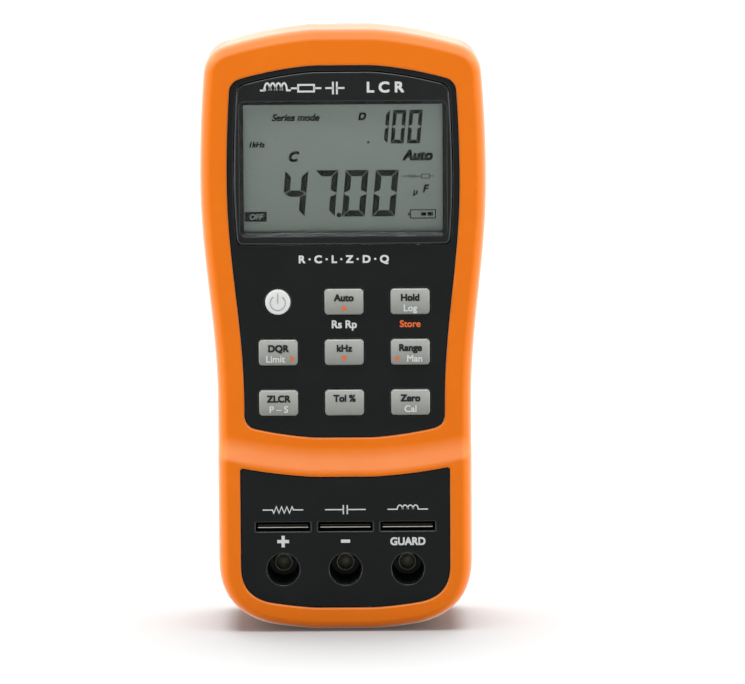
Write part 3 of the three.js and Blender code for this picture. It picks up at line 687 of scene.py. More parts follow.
sleeve_dull = metal("sleeve_dull", (132, 131, 116), 0.42)
# Painted shade: the bore's own finish stands in for the shade inside it.
bore_painted_shade = metal("bore_painted_shade", (138, 140, 124), 0.6)
leaf_painted_shade = metal("leaf_painted_shade", (66, 65, 60), 0.5)
BORE_MOUTH, BORE_END = 2.47, 4
for jack, (x, z) in zip(JACKS, wells):
    bm = bmesh.new()
    # A thin lip of plating shows at the mouth; the bore behind it takes a rougher finish whose colour is
    # painted shade for the inside of the bore.
    profile = [(0, JACK_FRONT + 3.2), (1.2, JACK_FRONT + 2.9), (2.05, JACK_FRONT + 2.2)]
    profile += [(2.05, JACK_FRONT + 0.9), (2.45, JACK_FRONT + 0.25), (2.5, JACK_FRONT), (2.66, JACK_FRONT)]
    profile += [(2.75, JACK_FRONT + 0.2), (2.75, JACK_BACK), (0, JACK_BACK)]
    turned(bm, x, z, profile)
    for face in bm.faces:
        center = face.calc_center_median() / MM
        inside = math.hypot(center.x - x, center.z - z) < BORE_MOUTH
        face.material_index = int(inside and center.y < JACK_FRONT + BORE_END)
    make_piece("sleeve_" + jack, bm, [sleeve_dull, bore_painted_shade], nodes=["jack_" + jack])
    # Painted shade: the upper leaf's dark finish stands in for the shade inside the slot.
    softened("slot_contact_" + jack, nickel, 0.08, upper=leaf_painted_shade)

# ---- Display bezel ----
# A satin black frame that stands a little proud of the key panel. Its window has bevelled walls down to
# the clear pane, and its edge is rounded enough to draw a thin line of light.

VIEW_WIDTH, VIEW_HEIGHT, VIEW_BEVEL = 60.4, 38.8, 1.15
bezel_satin = black_plastic("bezel_satin", 0.3, 0.3, (18, 20, 20))
bm = bmesh.new()
bezel_front, bezel_back = bezel_low[1] / MM, bezel_high[1] / MM
rim, outer_end = lip(bm, bezel_outline(BEZEL_FIT), bezel_front, BEZEL_EDGE, bezel_back - bezel_front, -1)
view = rounded_box(0, DISPLAY_Z, VIEW_WIDTH, VIEW_HEIGHT, 0.6, 4)
mouth = offset(view, VIEW_BEVEL)
view_rim = chain(bm, at_depth(offset(mouth, 0.25), bezel_front))
edge = band(bm, view_rim, at_depth(offset(mouth, 0.07), bezel_front + 0.07))
edge = band(bm, edge, at_depth(mouth, bezel_front + 0.25))
edge = band(bm, edge, at_depth(offset(view, 0.1), bezel_back - 0.3))
edge = band(bm, edge, at_depth(view, bezel_back))
# The rounded edges and walls are glossier than the flat face.
for face in bm.faces:
    face.material_index = 1
before = len(bm.faces)
fill(bm, rim + view_rim)
fill(bm, outer_end + edge, -AHEAD)
bm.faces.ensure_lookup_table()
for face in bm.faces[before:]:
    face.material_index = 0
make_piece("bezel_frame", bm, [bezel_satin, edge_black], nodes=["display_bezel"])

# ---- Display ----
# A reflective liquid crystal panel: a grey-green ground behind glass, with near-black segments that are
# slanted, split by thin gaps and float a hair above the ground. A clear pane covers it.

LCD_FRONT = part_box("lcd_panel")[0][1] / MM
ground = Finish("lcd_ground", Specular_IOR_Level=0.35, Coat_Weight=0.3, Coat_Roughness=0.15)
mottle = ground.noise(0.5, 2, 0.6)
# Painted light: the ground is painted lighter towards the top of the display.
lcd_painted_light = ground.ramp(ground.axis("Z"), (DISPLAY_Z - 20) * MM, (DISPLAY_Z + 20) * MM)
ground_color = ground.mix(lcd_painted_light, shade(104, 116, 108), shade(114, 126, 118))
ground.set("Base Color", ground.mix(mottle * 0.12, ground_color, shade(90, 100, 96)))
ground.set("Roughness", 0.42 + mottle * 0.1)
ground.bump(mottle, 0.01, 0.2)
softened("lcd_panel", ground, 0.2)

pane = Finish("clear_pane", Transmission_Weight=1.0, IOR=1.12)
smear = pane.noise(14, 3, 0.6)
pane.set("Base Color", pane.mix(smear, (0.96, 0.98, 0.97, 1), (1, 1, 1, 1)))
pane.set("Roughness", 0.015 + smear * 0.03)
softened("display_window", pane, 0.15)

ink = Finish("segment_ink", Specular_IOR_Level=0.1)
ink_grain = ink.noise(0.4, 2)
ink.set("Base Color", ink.mix(ink_grain, shade(8, 12, 11), shade(14, 19, 17)))
ink.set("Roughness", 0.4 + ink_grain * 0.1)
SEGMENT_Y = LCD_FRONT - 0.06
SEGMENT_DEEP = 0.04
SLANT = 0.09


def raised(bm, points, y, deep=SEGMENT_DEEP):
    """A flat shape with a little thickness, facing the front."""
    face = bm.faces.new([bm.verts.new(Vector((x, y, z)) * MM) for x, z in points])
    made = bmesh.ops.extrude_face_region(bm, geom=[face])["geom"]
    verts = [g for g in made if isinstance(g, bmesh.types.BMVert)]
    bmesh.ops.translate(bm, verts=verts, vec=AHEAD * deep * MM)


DIGITS = {"0": "abcdef", "1": "bc", "4": "bcfg", "7": "abc"}
STROKE_GAP = 0.07


def digit(bm, figure, left, bottom, width, height, thick):
    """One seven-stroke figure. Its strokes are mitred where they meet, with a thin gap between them."""
    gap = STROKE_GAP * thick
    half = height / 2
    top = [(gap, height), (width - gap, height)]
    top += [(width - thick - gap, height - thick), (thick + gap, height - thick)]
    side = [(0, height - gap), (thick, height - thick - gap)]
    side += [(thick, half + thick / 2 + gap), (0, half + gap)]
    bar = [(3 * gap, half), (thick + gap, half + thick / 2), (width - thick - gap, half + thick / 2)]
    bar += [(width - x, height - z) for x, z in bar]

    def mirrored(stroke, across, over):
        return [(width - x if across else x, height - z if over else z) for x, z in stroke]

    strokes = {
        "a": top, "d": mirrored(top, False, True), "g": bar,
        "f": side, "b": mirrored(side, True, False),
        "e": mirrored(side, False, True), "c": mirrored(side, True, True),
    }
    for stroke in DIGITS[figure]:
        raised(bm, [(left + x + SLANT * z, bottom + z) for x, z in strokes[stroke]], SEGMENT_Y)


def ruled(bm, points, width, y, deep=SEGMENT_DEEP):
    """A thin line through points, mitred at its bends. A line that ends where it starts is closed."""
    line = [Vector(p) for p in points]
    closed = (line[0] - line[-1]).length < 1e-6
    if closed:
        line.pop()
    left, right = [], []
    for k, point in enumerate(line):
        before = point - line[k - 1] if closed or k else line[1] - line[0]
        after = line[(k + 1) % len(line)] - point if closed or k + 1 < len(line) else before
        across = [Vector((-way.y, way.x)).normalized() for way in (before, after)]
        mitre = (across[0] + across[1]).normalized()
        reach = width / 2 / max(0.5, mitre.dot(across[0]))
        left.append(bm.verts.new(Vector((point.x + mitre.x * reach, y, point.y + mitre.y * reach)) * MM))
        right.append(bm.verts.new(Vector((point.x - mitre.x * reach, y, point.y - mitre.y * reach)) * MM))
    bars = [
        bm.faces.new((right[k - 1], right[k], left[k], left[k - 1]))
        for k in range(0 if closed else 1, len(line))
    ]
    made = bmesh.ops.extrude_face_region(bm, geom=bars)["geom"]
    bmesh.ops.translate(
        bm, verts=[g for g in made if isinstance(g, bmesh.types.BMVert)], vec=AHEAD * deep * MM
    )


CAPITAL_SHARE = 0.73


def letters(bm, text, x, z, height, y, slant=0.0, weight=0.0, deep=SEGMENT_DEEP, width=1.0):
    """Raised lettering in a plain face, with capitals of the given height, added to a piece.
    Its strokes are thickened by copies shifted by the weight, each a hair higher than the last."""
    curve = bpy.data.curves.new("letters", "FONT")
    curve.body = text
    curve.align_x = "CENTER"
    curve.size = height * MM / CAPITAL_SHARE
    curve.shear = slant
    curve.extrude = deep * MM / 2
    curve.resolution_u = 4
    written = bpy.data.objects.new("letters", curve)
    bpy.context.collection.objects.link(written)
    bpy.context.view_layer.update()
    flat = bpy.data.meshes.new_from_object(written.evaluated_get(bpy.context.evaluated_depsgraph_get()))
    bpy.data.objects.remove(written)
    flat.transform(Matrix.Rotation(math.pi / 2, 4, "X") @ Matrix.Diagonal((width, 1, 1, 1)))
    flat.transform(Matrix.Translation(Vector((x, y - deep / 2, z)) * MM))
    before = len(bm.faces)
    place = Vector((0, 0, 0))
    for k, (right, up) in enumerate(((-1, -1), (1, -1), (1, 1), (-1, 1)) if weight else ((0, 0),)):
        shift = Vector((right * weight / 2, -k * 0.003, up * weight / 2)) * MM
        flat.transform(Matrix.Translation(shift - place))
        place = shift
        bm.from_mesh(flat)
    bm.faces.ensure_lookup_table()
    return bm.faces[before:]


bm = bmesh.new()
# The main reading and the smaller one above it, as figures, left end, foot, pitch, width, height, stroke.
for reading, start, foot, pitch, width, height, thick in (
    ("4700", -18.8, -14.9, 9.15, 7.0, 14.2, 1.9),
    ("100", 9.5, 7.3, 4.95, 4.0, 10.2, 1.15),
):
    for place, figure in enumerate(reading):
        digit(bm, figure, start + place * pitch, DISPLAY_Z + foot, width, height, thick)
raised(bm, circle(-1.3, DISPLAY_Z - 14.4, 0.75, 16), SEGMENT_Y)
raised(bm, circle(7.7, DISPLAY_Z + 7.7, 0.4, 12), SEGMENT_Y)
for text, x, up, height, weight in (
    ("Series mode", -14.4, 14.4, 2.1, 0.22),
    ("D", 5.7, 14.6, 2.2, 0.34),
    ("1kHz", -26.3, 6.4, 1.7, 0.2),
    ("C", -15.3, 2.1, 3.0, 0.42),
    ("Auto", 22.6, 2.3, 3.1, 0.44),
    ("µ", 21.8, -8.3, 2.0, 0.2),
    ("F", 24.8, -7.6, 2.4, 0.28),
):
    letters(bm, text, x, DISPLAY_Z + up, height, SEGMENT_Y, 0.25, weight)


def oblong(left, low, width, height):
    """The four corners of an oblong."""
    return [(left, low), (left + width, low), (left + width, low + height), (left, low + height)]


# The series sign, a wave and a box on one lead, and the battery gauge with two of its bars lit.
SERIES_Z = DISPLAY_Z - 2.7
FINE_LINE, GAUGE_LINE, GAUGE_TIP = 0.22, 0.3, 0.5
wave = [(17.9, SERIES_Z), (19.4, SERIES_Z)]
wave += [(19.4 + 0.45 * k, SERIES_Z + (0.45 if k % 2 else -0.45)) for k in range(1, 7)]
wave += [(22.5, SERIES_Z), (23.8, SERIES_Z)]
ruled(bm, wave, FINE_LINE, SEGMENT_Y)
box_sign = oblong(23.8, SERIES_Z - 0.6, 2.4, 1.2)
ruled(bm, box_sign + box_sign[:1], FINE_LINE, SEGMENT_Y)
ruled(bm, [(26.3, SERIES_Z), (27.9, SERIES_Z)], FINE_LINE, SEGMENT_Y)
cell = oblong(20.4, DISPLAY_Z - 15.5, 7.6, 2.5)
ruled(bm, cell + cell[:1], GAUGE_LINE, SEGMENT_Y)
ruled(bm, [(19.9, DISPLAY_Z - 14.7), (19.9, DISPLAY_Z - 13.8)], GAUGE_TIP, SEGMENT_Y)
for left in (23.6, 25.6):
    raised(bm, oblong(left, DISPLAY_Z - 14.8, 1.6, 1.1), SEGMENT_Y)
# The power-off sign is dark with its letters left clear.
OFF_LEFT, OFF_LOW, OFF_WIDTH, OFF_HEIGHT = -30.0, DISPLAY_Z - 16.3, 6.7, 3
raised(bm, oblong(OFF_LEFT, OFF_LOW, OFF_WIDTH, OFF_HEIGHT), SEGMENT_Y)
make_piece("lcd_segments", bm, [ink])
pale_ink = Finish("clear_ground", Specular_IOR_Level=0.3)
pale_ink.set("Base Color", pale_ink.mix(pale_ink.noise(0.5), shade(108, 120, 112), shade(116, 128, 120)))
pale_ink.set("Roughness", 0.42 + pale_ink.noise(0.5) * 0.1)
bm = bmesh.new()
letters(bm, "OFF", OFF_LEFT + OFF_WIDTH / 2, OFF_LOW + 0.65, 1.7, SEGMENT_Y - SEGMENT_DEEP, 0.2, 0.12)
make_piece("lcd_clear_letters", bm, [pale_ink])

# ---- Printing on the panels ----
# Pale grey and orange ink, screen printed in a thin even film on the black plastic. Signs are ruled
# lines of one width, and the few plain words share one typeface.


def printing(name, tone):
    """Screen printing ink, a little uneven in its film."""
    finish = Finish(name, Specular_IOR_Level=0.3)
    film = finish.noise(0.25, 2, 0.7)
    dark = tuple(c * 0.82 for c in shade(*tone)[:3]) + (1,)
    finish.set("Base Color", finish.mix(film, dark, shade(*tone)))
    finish.set("Roughness", 0.5 + film * 0.1)
    finish.bump(film, 0.01, 0.3)
    return finish


pale_print = printing("pale_print", (208, 212, 210))
orange_print = printing("orange_print", (226, 104, 44))
dark_print = printing("dark_print", (20, 21, 21))
PRINT_DEEP = 0.04


def coil(x, z, turns, pitch, height):
    """The sign for a coil: a row of half rounds."""
    points = []
    for k in range(turns):
        middle_x = x + (k + 0.5) * pitch
        for step in range(9):
            turn = math.pi * (1 - step / 8)
            points.append((middle_x + pitch / 2 * math.cos(turn), z + height * math.sin(turn)))
    return points


# Above the display stand a coil, a resistor and a capacitor on one lead, and three letters.
bm = bmesh.new()
y = bezel_front
TITLE_Z = 165.4
LINE = 0.55
COIL_LEFT, COIL_LEAD_Z, LEAD_Z = -23.6, TITLE_Z + 0.6, TITLE_Z + 1.2
RESISTOR_LEFT, RESISTOR_RIGHT, PLATES = -13.4, -8.6, (-2.9, -1.7)
lead_in = [(COIL_LEFT - 1.3, COIL_LEAD_Z), (COIL_LEFT, COIL_LEAD_Z)]
lead_out = [(COIL_LEFT + 8, COIL_LEAD_Z)]
ruled(bm, lead_in + coil(COIL_LEFT, COIL_LEAD_Z, 4, 1.7, 2.2) + lead_out, LINE, y, PRINT_DEEP)
box = oblong(RESISTOR_LEFT, LEAD_Z - 1, RESISTOR_RIGHT - RESISTOR_LEFT, 2)
ruled(bm, box + box[:1], LINE, y, PRINT_DEEP)
for start, end in (
    (COIL_LEFT + 8, RESISTOR_LEFT), (RESISTOR_RIGHT, -6.4), (-5.2, PLATES[0]), (PLATES[1], 0.6),
):
    ruled(bm, [(start, LEAD_Z), (end, LEAD_Z)], LINE, y, PRINT_DEEP)
for x in PLATES:
    ruled(bm, [(x, LEAD_Z - 1.9), (x, LEAD_Z + 1.9)], LINE, y, PRINT_DEEP)
letters(bm, "L C R", 12.8, TITLE_Z - 0.1, 3.2, y, 0, 0.3, PRINT_DEEP, 1.1)
SUBTITLE_Z = 113.4
letters(bm, "R · C · L · Z · D · Q", 0, SUBTITLE_Z, 2.3, KEY_PANEL_Y, 0, 0.24, PRINT_DEEP, 1.08)
auto_x, auto_z = middle("key_auto")
letters(bm, "Rs Rp", auto_x, auto_z - 8.1, 2.4, KEY_PANEL_Y, 0, 0.2, PRINT_DEEP)

# Below the panel's top edge a row of component signs, and each input's polarity.
slot_z, well_z = slots[0][1], wells[0][1]
SIGN_Z = slot_z + 5.3
y = JACK_PANEL_Y
SIGN_HALF, SIGN_BODY, SIGN_LINE, SIGN_PLATE = 6.2, 3.2, 0.35, 0.4
(left, _), (center, _), (right, _) = wells
zigzag = [(-SIGN_HALF, 0), (-SIGN_BODY, 0)]
zigzag += [((k - 3.5) * 0.8, 1.0 if k % 2 else -1.0) for k in range(8)]
zigzag += [(SIGN_BODY, 0), (SIGN_HALF, 0)]
ruled(bm, [(left + a, SIGN_Z + b) for a, b in zigzag], SIGN_LINE, y, PRINT_DEEP)
for side in (-1, 1):
    plate_x = center + side * 0.6
    ruled(bm, sorted([(plate_x, SIGN_Z), (center + side * SIGN_HALF, SIGN_Z)]), SIGN_LINE, y, PRINT_DEEP)
    ruled(bm, [(plate_x, SIGN_Z - 1.4), (plate_x, SIGN_Z + 1.4)], SIGN_PLATE, y, PRINT_DEEP)
humps = coil(right - SIGN_BODY, SIGN_Z, 4, SIGN_BODY / 2, 1.3)
ruled(bm, [(right - SIGN_HALF, SIGN_Z)] + humps + [(right + SIGN_HALF, SIGN_Z)], SIGN_LINE, y, PRINT_DEEP)
POLARITY_Z = (slot_z + well_z) / 2 + 2.1
PLUS_HALF, MINUS_HALF, POLARITY_LINE = 1.8, 1.4, 1.0
for middle_x, half in ((left, PLUS_HALF), (center, MINUS_HALF)):
    bar = [(middle_x - half, POLARITY_Z), (middle_x + half, POLARITY_Z)]
    ruled(bm, bar, POLARITY_LINE, y, PRINT_DEEP)
upright = [(left, POLARITY_Z - PLUS_HALF), (left, POLARITY_Z + PLUS_HALF)]
ruled(bm, upright, POLARITY_LINE, y, PRINT_DEEP * 1.5)
letters(bm, "GUARD", right, POLARITY_Z - 1.25, 2.4, y, 0, 0.22, PRINT_DEEP, 0.95)
make_piece("panel_printing", bm, [pale_print])
bm = bmesh.new()
hold_x, hold_z = middle("key_hold")
letters(bm, "Store", hold_x, hold_z - 7.9, 2.1, KEY_PANEL_Y, 0, 0.16, PRINT_DEEP)
make_piece("panel_printing_orange", bm, [orange_print])

# ---- Keys ----
# Eight oblong caps with a silver-grey lacquer and one round white power key, each with softly rounded
# top edges, standing proud of the panel on rubber domes. The legends are printed on the caps.

ROW_Z = middle("key_mode")[1]
ROW_PITCH = middle("key_phase")[1] - ROW_Z


def lacquer(name, low_tone, high_tone, metallic):
    """Lacquer over the whole key. Its colour is painted light, lighter towards each key's top edge and
    darker towards its lower edge.
    """
    finish = Finish(name, Specular_IOR_Level=0.5, Metallic=metallic)
    speck = finish.noise(0.18, 2, 0.7)
    wear = finish.noise(2.5, 3, 0.6)
    wrap = {0: finish.axis("Z") - ROW_Z * MM, 1: ROW_PITCH * MM / 2, 2: -ROW_PITCH * MM / 2}
    # Painted light: each key is painted lighter towards its top edge.
    key_painted_light = finish.ramp(finish.node("Math", {"operation": "WRAP"}, wrap), -4 * MM, 4 * MM)
    share = key_painted_light * 0.8 + speck * 0.15 + wear * 0.15
    finish.set("Base Color", finish.mix(share, shade(*low_tone), shade(*high_tone)))
    finish.set("Roughness", 0.34 + speck * 0.1 + wear * 0.06)
    finish.bump(speck, 0.008, 0.5)
    return finish


key_silver = lacquer("key_silver", (109, 113, 108), (170, 173, 167), 0.35)
key_pearl = lacquer("key_pearl", (203, 205, 203), (220, 222, 220), 0.0)
LEGENDS = {
    "auto": [("dark", "Auto", 0, 0.3, 2.1), ("orange", "up", 0, -2.0, 1.1)],
    "hold": [("dark", "Hold", 0, 0.3, 2.1), ("pale", "Log", 0, -2.9, 2.1)],
    "phase": [
        ("dark", "DQR", 0, 0.3, 2.1),
        ("pale", "Limit", -0.9, -2.9, 2.1),
        ("orange", "right", 4.2, -1.9, 1.0),
    ],
    "frequency": [("dark", "kHz", 0, 0.3, 2.1), ("orange", "down", 0, -1.7, 1.1)],
    "range": [
        ("dark", "Range", 0, 0.4, 2.1),
        ("orange", "left", -4.1, -1.9, 1.0),
        ("pale", "Man", 1.3, -2.9, 2.1),
    ],
    "mode": [("dark", "ZLCR", 0, 0.3, 2.1), ("pale", "P – S", 0, -2.9, 2.1)],
    "tolerance": [("dark", "Tol %", 0, 0.4, 2.1)],
    "zero": [("dark", "Zero", 0, 0.4, 2.1), ("pale", "Cal", 0, -2.9, 2.1)],
}
INKS = ["cap", "dark", "pale", "orange"]
TURNS = {"up": 90, "left": 180, "down": 270, "right": 0}
KEY_EDGE, KEY_EDGE_STEPS = 0.55, 5
SKIRT_OUT, SKIRT_FRONT, SKIRT_BACK = 0.8, 3.6, 4.4
RING_RADIUS, MARK_LINE = 2.3, 0.26
DARK_WEIGHT, PALE_WEIGHT = 0.26, 0.12
for key in KEYS:
    node = "key_" + key
    low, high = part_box(node)
    front, x, z = low[1] / MM, *middle(node)
    bm = bmesh.new()
    # The top dips by a hair in the middle, so that a finger finds it.
    dish = chain(bm, at_depth(key_outline(key, -KEY_EDGE - 1.6), front + 0.12))
    edge = band(bm, dish, at_depth(key_outline(key, -KEY_EDGE - 0.5), front + 0.03))
    for step in range(KEY_EDGE_STEPS + 1):
        turn = step / KEY_EDGE_STEPS * math.pi / 2
        grown = key_outline(key, -KEY_EDGE * (1 - math.sin(turn)))
        edge = band(bm, edge, at_depth(grown, front + KEY_EDGE * (1 - math.cos(turn))))
    fill(bm, dish)
    # Behind the panel come a skirt, which stops the key, and the post down to the dome.
    cap = key_outline(key)
    skirt = offset(cap, SKIRT_OUT)
    post = [(x + (a - x) * 0.4, z + (b - z) * 0.5) for a, b in cap]
    end = band(bm, edge, at_depth(cap, front + SKIRT_FRONT - 0.2))
    end = band(bm, end, at_depth(skirt, front + SKIRT_FRONT))
    end = band(bm, end, at_depth(skirt, front + SKIRT_BACK))
    end = band(bm, end, at_depth(post, front + SKIRT_BACK + 0.1))
    end = band(bm, end, at_depth(post, high[1] / MM))
    fill(bm, end, -AHEAD)
    if key == "power":
        before = len(bm.faces)
        around = [math.radians(degrees) for degrees in range(36, 325, 12)]
        ring = [(x + RING_RADIUS * math.sin(a), z - 0.2 + RING_RADIUS * math.cos(a)) for a in around]
        ruled(bm, ring, MARK_LINE, front, PRINT_DEEP)
        ruled(bm, [(x, z - 0.4), (x, z + 2.7)], MARK_LINE, front, PRINT_DEEP)
        bm.faces.ensure_lookup_table()
        for face in bm.faces[before:]:
            face.material_index = INKS.index("dark")
    for color, text, right, up, size in LEGENDS.get(key, []):
        if text in TURNS:
            turn = math.radians(TURNS[text])
            arrow = [
                (x + right + size * math.cos(turn + a), z + up + size * math.sin(turn + a))
                for a in (0, math.radians(120), math.radians(240))
            ]
            before = len(bm.faces)
            raised(bm, arrow, front, PRINT_DEEP)
            bm.faces.ensure_lookup_table()
            marked = bm.faces[before:]
        else:
            weight = DARK_WEIGHT if color == "dark" else PALE_WEIGHT
            marked = letters(bm, text, x + right, z + up, size, front, 0, weight, PRINT_DEEP)
        for face in marked:
            face.material_index = INKS.index(color)
    if key == "power":
        coat, mark, slot = key_pearl, printing("power_mark", (160, 162, 160)), "key_white"
    else:
        coat, mark, slot = key_silver, dark_print, "key_grey"
    make_piece(node + "_cap", bm, [coat, mark, pale_print, orange_print], node, [node])

# ---- Power socket ----
# A moulded black barrel socket on the board, its mouth in a hole at the bottom of the dip. The hard case
# shows round it as a flat wall with a rounded edge.

SIDE_IN, MOUTH_RADIUS, MOUTH_DEEP = 2.2, 4.5, 2.2
hard_side = bmesh.new()
mouth = circle(SOCKET_Y, SOCKET_Z, MOUTH_RADIUS)
socket_ring, _ = lip(hard_side, mouth, SIDE_IN, 0.3, MOUTH_DEEP, place=on_right_side)
outer_ring = chain(hard_side, on_right_side(offset(dip, 1.2), SIDE_IN))
fill(hard_side, socket_ring + outer_ring, Vector((1, 0, 0)))
make_piece("socket_wall", hard_side, [case_black], wall=0.3)
softened("power_socket", case_black, 0.15)

# ---- Rear half ----
# The same soft orange skin wraps the rear, moulded over a hard black back that holds the recesses for the
# stand, the battery door and the infrared window, and the counterbores of four case screws.

rear_low, rear_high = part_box("rear_overmould")
PARTING_REAR = rear_low[1] / MM
REAR_FACE = rear_high[1] / MM
REAR_ACROSS, REAR_DEEP = 5, 8
bm = bmesh.new()
silhouette = body_outline(0)
edge = chain(bm, at_depth(offset(silhouette, -PARTING_ROUND[-1][0]), PARTING_REAR))
for inset, short in PARTING_ROUND[-2::-1]:
    edge = band(bm, edge, at_depth(offset(silhouette, -inset), PARTING_REAR + short))
for k in range(EDGE_STEPS, -1, -1):
    turn = k / EDGE_STEPS * math.pi / 2
    loop = offset(silhouette, -REAR_ACROSS * (1 - math.sin(turn)))
    edge = band(bm, edge, at_depth(loop, REAR_FACE - REAR_DEEP * (1 - math.cos(turn))))


back_low, back_high, back_low_corner, back_high_corner = 7, 178.6, 10, 4
rear_panel = outline(6.5, back_low, back_high, FOOT_BOW, TOP_BOW, back_low_corner, back_high_corner)
rim, _ = lip(bm, rear_panel, REAR_FACE, 0.6, -1.4)
fill(bm, edge + rim, -AHEAD)
make_piece("rear_skin", bm, [soft_orange], nodes=["rear_overmould"], wall=SKIN_WALL)
softened("rear_case", case_black, 0.25)

# ---- Stand, battery door and back fittings ----
# The stand is a black moulded frame that turns on two stub pins, with a ribbed rubber pad at its foot.
# The door is held by two captive cross-head screws, and a blank foil label sits above.

softened("tilt_stand", case_black, 0.5, "stand", segments=3)
softened("battery_cover", case_black, 0.3, "battery_door")
zinc = metal("zinc_plate", (150, 152, 155), 0.35)
pad_rubber = Finish("pad_rubber", Specular_IOR_Level=0.3)
RIB_SCALE = 320.0
ribs_and_groove_shade = pad_rubber.node(
    "TexWave",
    {"wave_type": "BANDS", "bands_direction": "X"},
    {"Vector": pad_rubber.place, "Scale": RIB_SCALE},
)
# Painted shade: the grooves between the ribs are painted darker; the same bands raise the ribs by bump.
pad_rubber.set("Base Color", pad_rubber.mix(ribs_and_groove_shade, shade(34, 34, 34), shade(46, 46, 46)))
pad_rubber.set("Roughness", 0.75 + pad_rubber.noise(0.3) * 0.15)
pad_rubber.bump(ribs_and_groove_shade, 0.15, 0.8)
softened("stand_pad", pad_rubber, 0.15, "stand")
for place in ("lower", "upper"):
    softened("cover_screw_" + place, zinc, 0.12, "battery_door")
    for side in ("left", "right"):
        softened(f"case_screw_{place}_{side}", zinc, 0.12)
        softened(f"board_screw_{place}_{side}", zinc, 0.12)
# The infrared window is a deep red plastic that looks black, and lets the light of the port through.
infrared = Finish("infrared_window", Specular_IOR_Level=0.6, Coat_Weight=0.6)
depth_tint = infrared.noise(4, 2)
infrared.set("Base Color", infrared.mix(depth_tint, shade(24, 8, 10), shade(40, 12, 16)))
infrared.set("Roughness", 0.08 + depth_tint * 0.06)
softened("infrared_window", infrared, 0.2)
softened("rear_label", metal("label_foil", (196, 197, 194), 0.4), 0.04)

# ---- Inside ----
# The board, its parts, the display's carrier and the battery are hidden in the case. They keep their
# CAD shapes and take the finishes of a green board, moulded packages, plated cans and printed sleeve.


def speckled(name, low_tone, high_tone, size, rough, metallic=0.0):
    """A plain finish that wanders between two tones in lumps of a size."""
    finish = Finish(name, Metallic=metallic)
    speck = finish.noise(size, 3, 0.6)
    finish.set("Base Color", finish.mix(speck, shade(*low_tone), shade(*high_tone)))
    finish.set("Roughness", rough + speck * 0.15)
    finish.bump(speck, 0.02, 0.3)
    return finish


INSIDE = {
    speckled("solder_mask", (18, 82, 44), (30, 108, 60), 2.0, 0.3): ["main_board"],
    speckled("package_black", (26, 26, 28), (38, 38, 40), 0.4, 0.45): [
        "controller_chip", "converter_chip", "input_relay", "reservoir_capacitor", "buzzer",
        "infrared_emitter", "infrared_receiver",
    ],
    speckled("white_moulding", (222, 222, 214), (236, 236, 230), 1.0, 0.45): [
        "backlight_panel", "lcd_holder",
    ],
    speckled("black_rubber", (28, 28, 28), (40, 40, 40), 0.6, 0.7): [
        "keypad_mat", "zebra_strip_upper", "zebra_strip_lower", "battery_snap",
    ],
    speckled("battery_sleeve", (40, 44, 52), (62, 68, 78), 6.0, 0.3, 0.4): ["battery"],
    speckled("red_insulation", (150, 20, 16), (176, 30, 24), 1.0, 0.4): ["battery_lead_positive"],
    speckled("black_insulation", (20, 20, 20), (32, 32, 32), 1.0, 0.4): ["battery_lead_negative"],
    metal("crystal_can", (200, 200, 196), 0.3): ["crystal"],
}
for finish, hidden in INSIDE.items():
    for node in hidden:
        bpy.data.objects[node].data.materials.clear()
        bpy.data.objects[node].data.materials.append(finish.material)

# ---- Studio ----
# A pale paper floor has a soft overhead light of its own. The other lamps leave it out: one above the
# front, a weak one low in front, and a strip at each side.

FLOOR_HALF = 12
stage = bmesh.new()
bmesh.ops.create_grid(stage, x_segments=1, y_segments=1, size=FLOOR_HALF)
floor_mesh = bpy.data.meshes.new("floor")
stage.to_mesh(floor_mesh)
stage.free()
paper = Finish("floor_paper", Roughness=0.9, Specular_IOR_Level=0.1, Emission_Strength=0.05)
paper.set("Base Color", paper.mix(paper.noise(400, 1), (0.31, 0.31, 0.31, 1), (0.33, 0.33, 0.33, 1)))
floor_mesh.materials.append(paper.material)
floor = bpy.data.objects.new("floor", floor_mesh)
bpy.context.collection.objects.link(floor)


def linked_light(name, kind, power, place, target, floor_state):
    """A lamp that lights only the floor, or only what isn't the floor."""
    lamp = bpy.data.lights.new(name, kind)
    lamp.energy = power
    light = bpy.data.objects.new(name, lamp)
    light.location = place
    light.rotation_euler = (Vector(target) - Vector(place)).to_track_quat("-Z", "Y").to_euler()
    light.visible_camera = False
    receivers = bpy.data.collections.new(name + "_receivers")
    receivers.objects.link(floor)
    light.light_linking.receiver_collection = receivers
    receivers.collection_objects[0].light_linking.link_state = floor_state
    bpy.context.collection.objects.link(light)
    return lamp


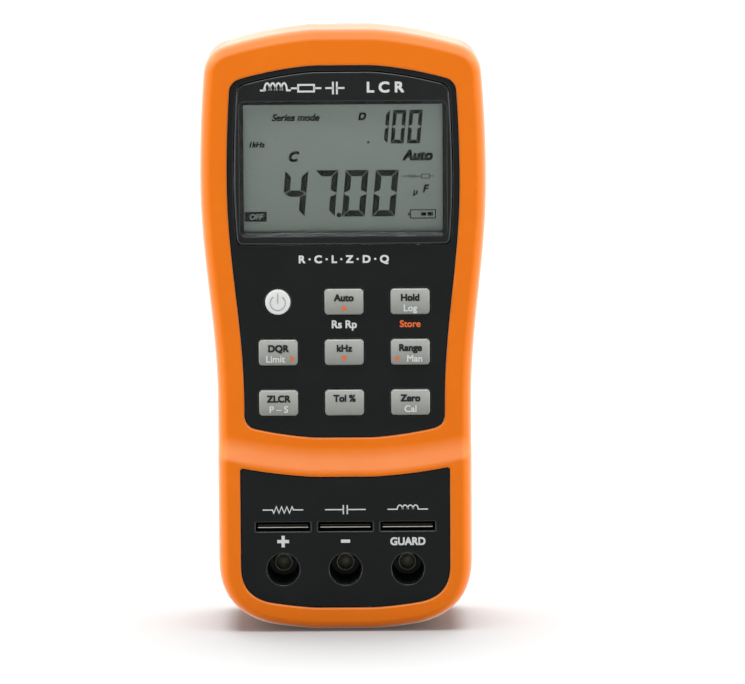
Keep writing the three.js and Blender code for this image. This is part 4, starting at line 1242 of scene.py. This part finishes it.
overhead = linked_light("overhead", "SUN", 7.4, (0, 0.1, 1), (0, 0, 0), "INCLUDE")
overhead.angle = math.radians(45)
GRIP_MIDDLE = (0, 0, 0.09)
for name, place, size, power in (
    ("key_panel", (0, -0.45, 1.25), (0.8, 0.35), 7.8),
    ("low_front", (0, -1.1, 0.03), (0.9, 0.3), 1.5),
    ("left_strip", (-0.75, 0.02, 0.1), (0.3, 0.36), 3.4),
    ("right_strip", (0.75, 0.02, 0.1), (0.3, 0.36), 3.4),
):
    panel = linked_light(name, "AREA", power, place, GRIP_MIDDLE, "EXCLUDE")
    panel.shape = "RECTANGLE"
    panel.size, panel.size_y = size

# The surround is bright behind, above and at the sides, and dim in front, where the camera stands.
world = bpy.data.worlds.new("studio")
world.use_nodes = True
surround = world.node_tree
direction = surround.nodes.new("ShaderNodeTexCoord")
parts = surround.nodes.new("ShaderNodeSeparateXYZ")
dimming = surround.nodes.new("ShaderNodeMapRange")
for socket, value in (("From Min", -0.9), ("From Max", 0.1), ("To Min", 0.2), ("To Max", 1.42)):
    dimming.inputs[socket].default_value = value
surround.links.new(direction.outputs["Generated"], parts.inputs["Vector"])
surround.links.new(parts.outputs["Y"], dimming.inputs["Value"])
surround.links.new(dimming.outputs["Result"], surround.nodes["Background"].inputs["Strength"])
surround.nodes["Background"].inputs["Color"].default_value = (1, 1, 1, 1)
bpy.context.scene.world = world
bpy.context.scene.view_settings.view_transform = "Standard"

# ---- Camera ----
# It looks at the front from a little above and from far off, so that the sides hardly draw together.
# The meter stands left of the middle and leans by a hair.

CAMERA_DISTANCE = 1.4
CAMERA_RISE = math.radians(8)
CAMERA_ROLL = math.radians(0.38)
CAMERA_LENS, CAMERA_SHIFT = 219.5, 0.038
AIM = Vector((0, 0, 0.0867))
camera = bpy.data.objects.new("camera", bpy.data.cameras.new("camera"))
back = Vector((0, -math.cos(CAMERA_RISE), math.sin(CAMERA_RISE)))
camera.location = AIM + back * CAMERA_DISTANCE
turn = (-back).to_track_quat("-Z", "Y").to_matrix() @ Matrix.Rotation(-CAMERA_ROLL, 3, "Z")
camera.rotation_euler = turn.to_euler()
camera.data.sensor_width = 36
camera.data.lens = CAMERA_LENS
camera.data.shift_x = CAMERA_SHIFT
camera.data.clip_end = 50
bpy.context.collection.objects.link(camera)
bpy.context.scene.camera = camera
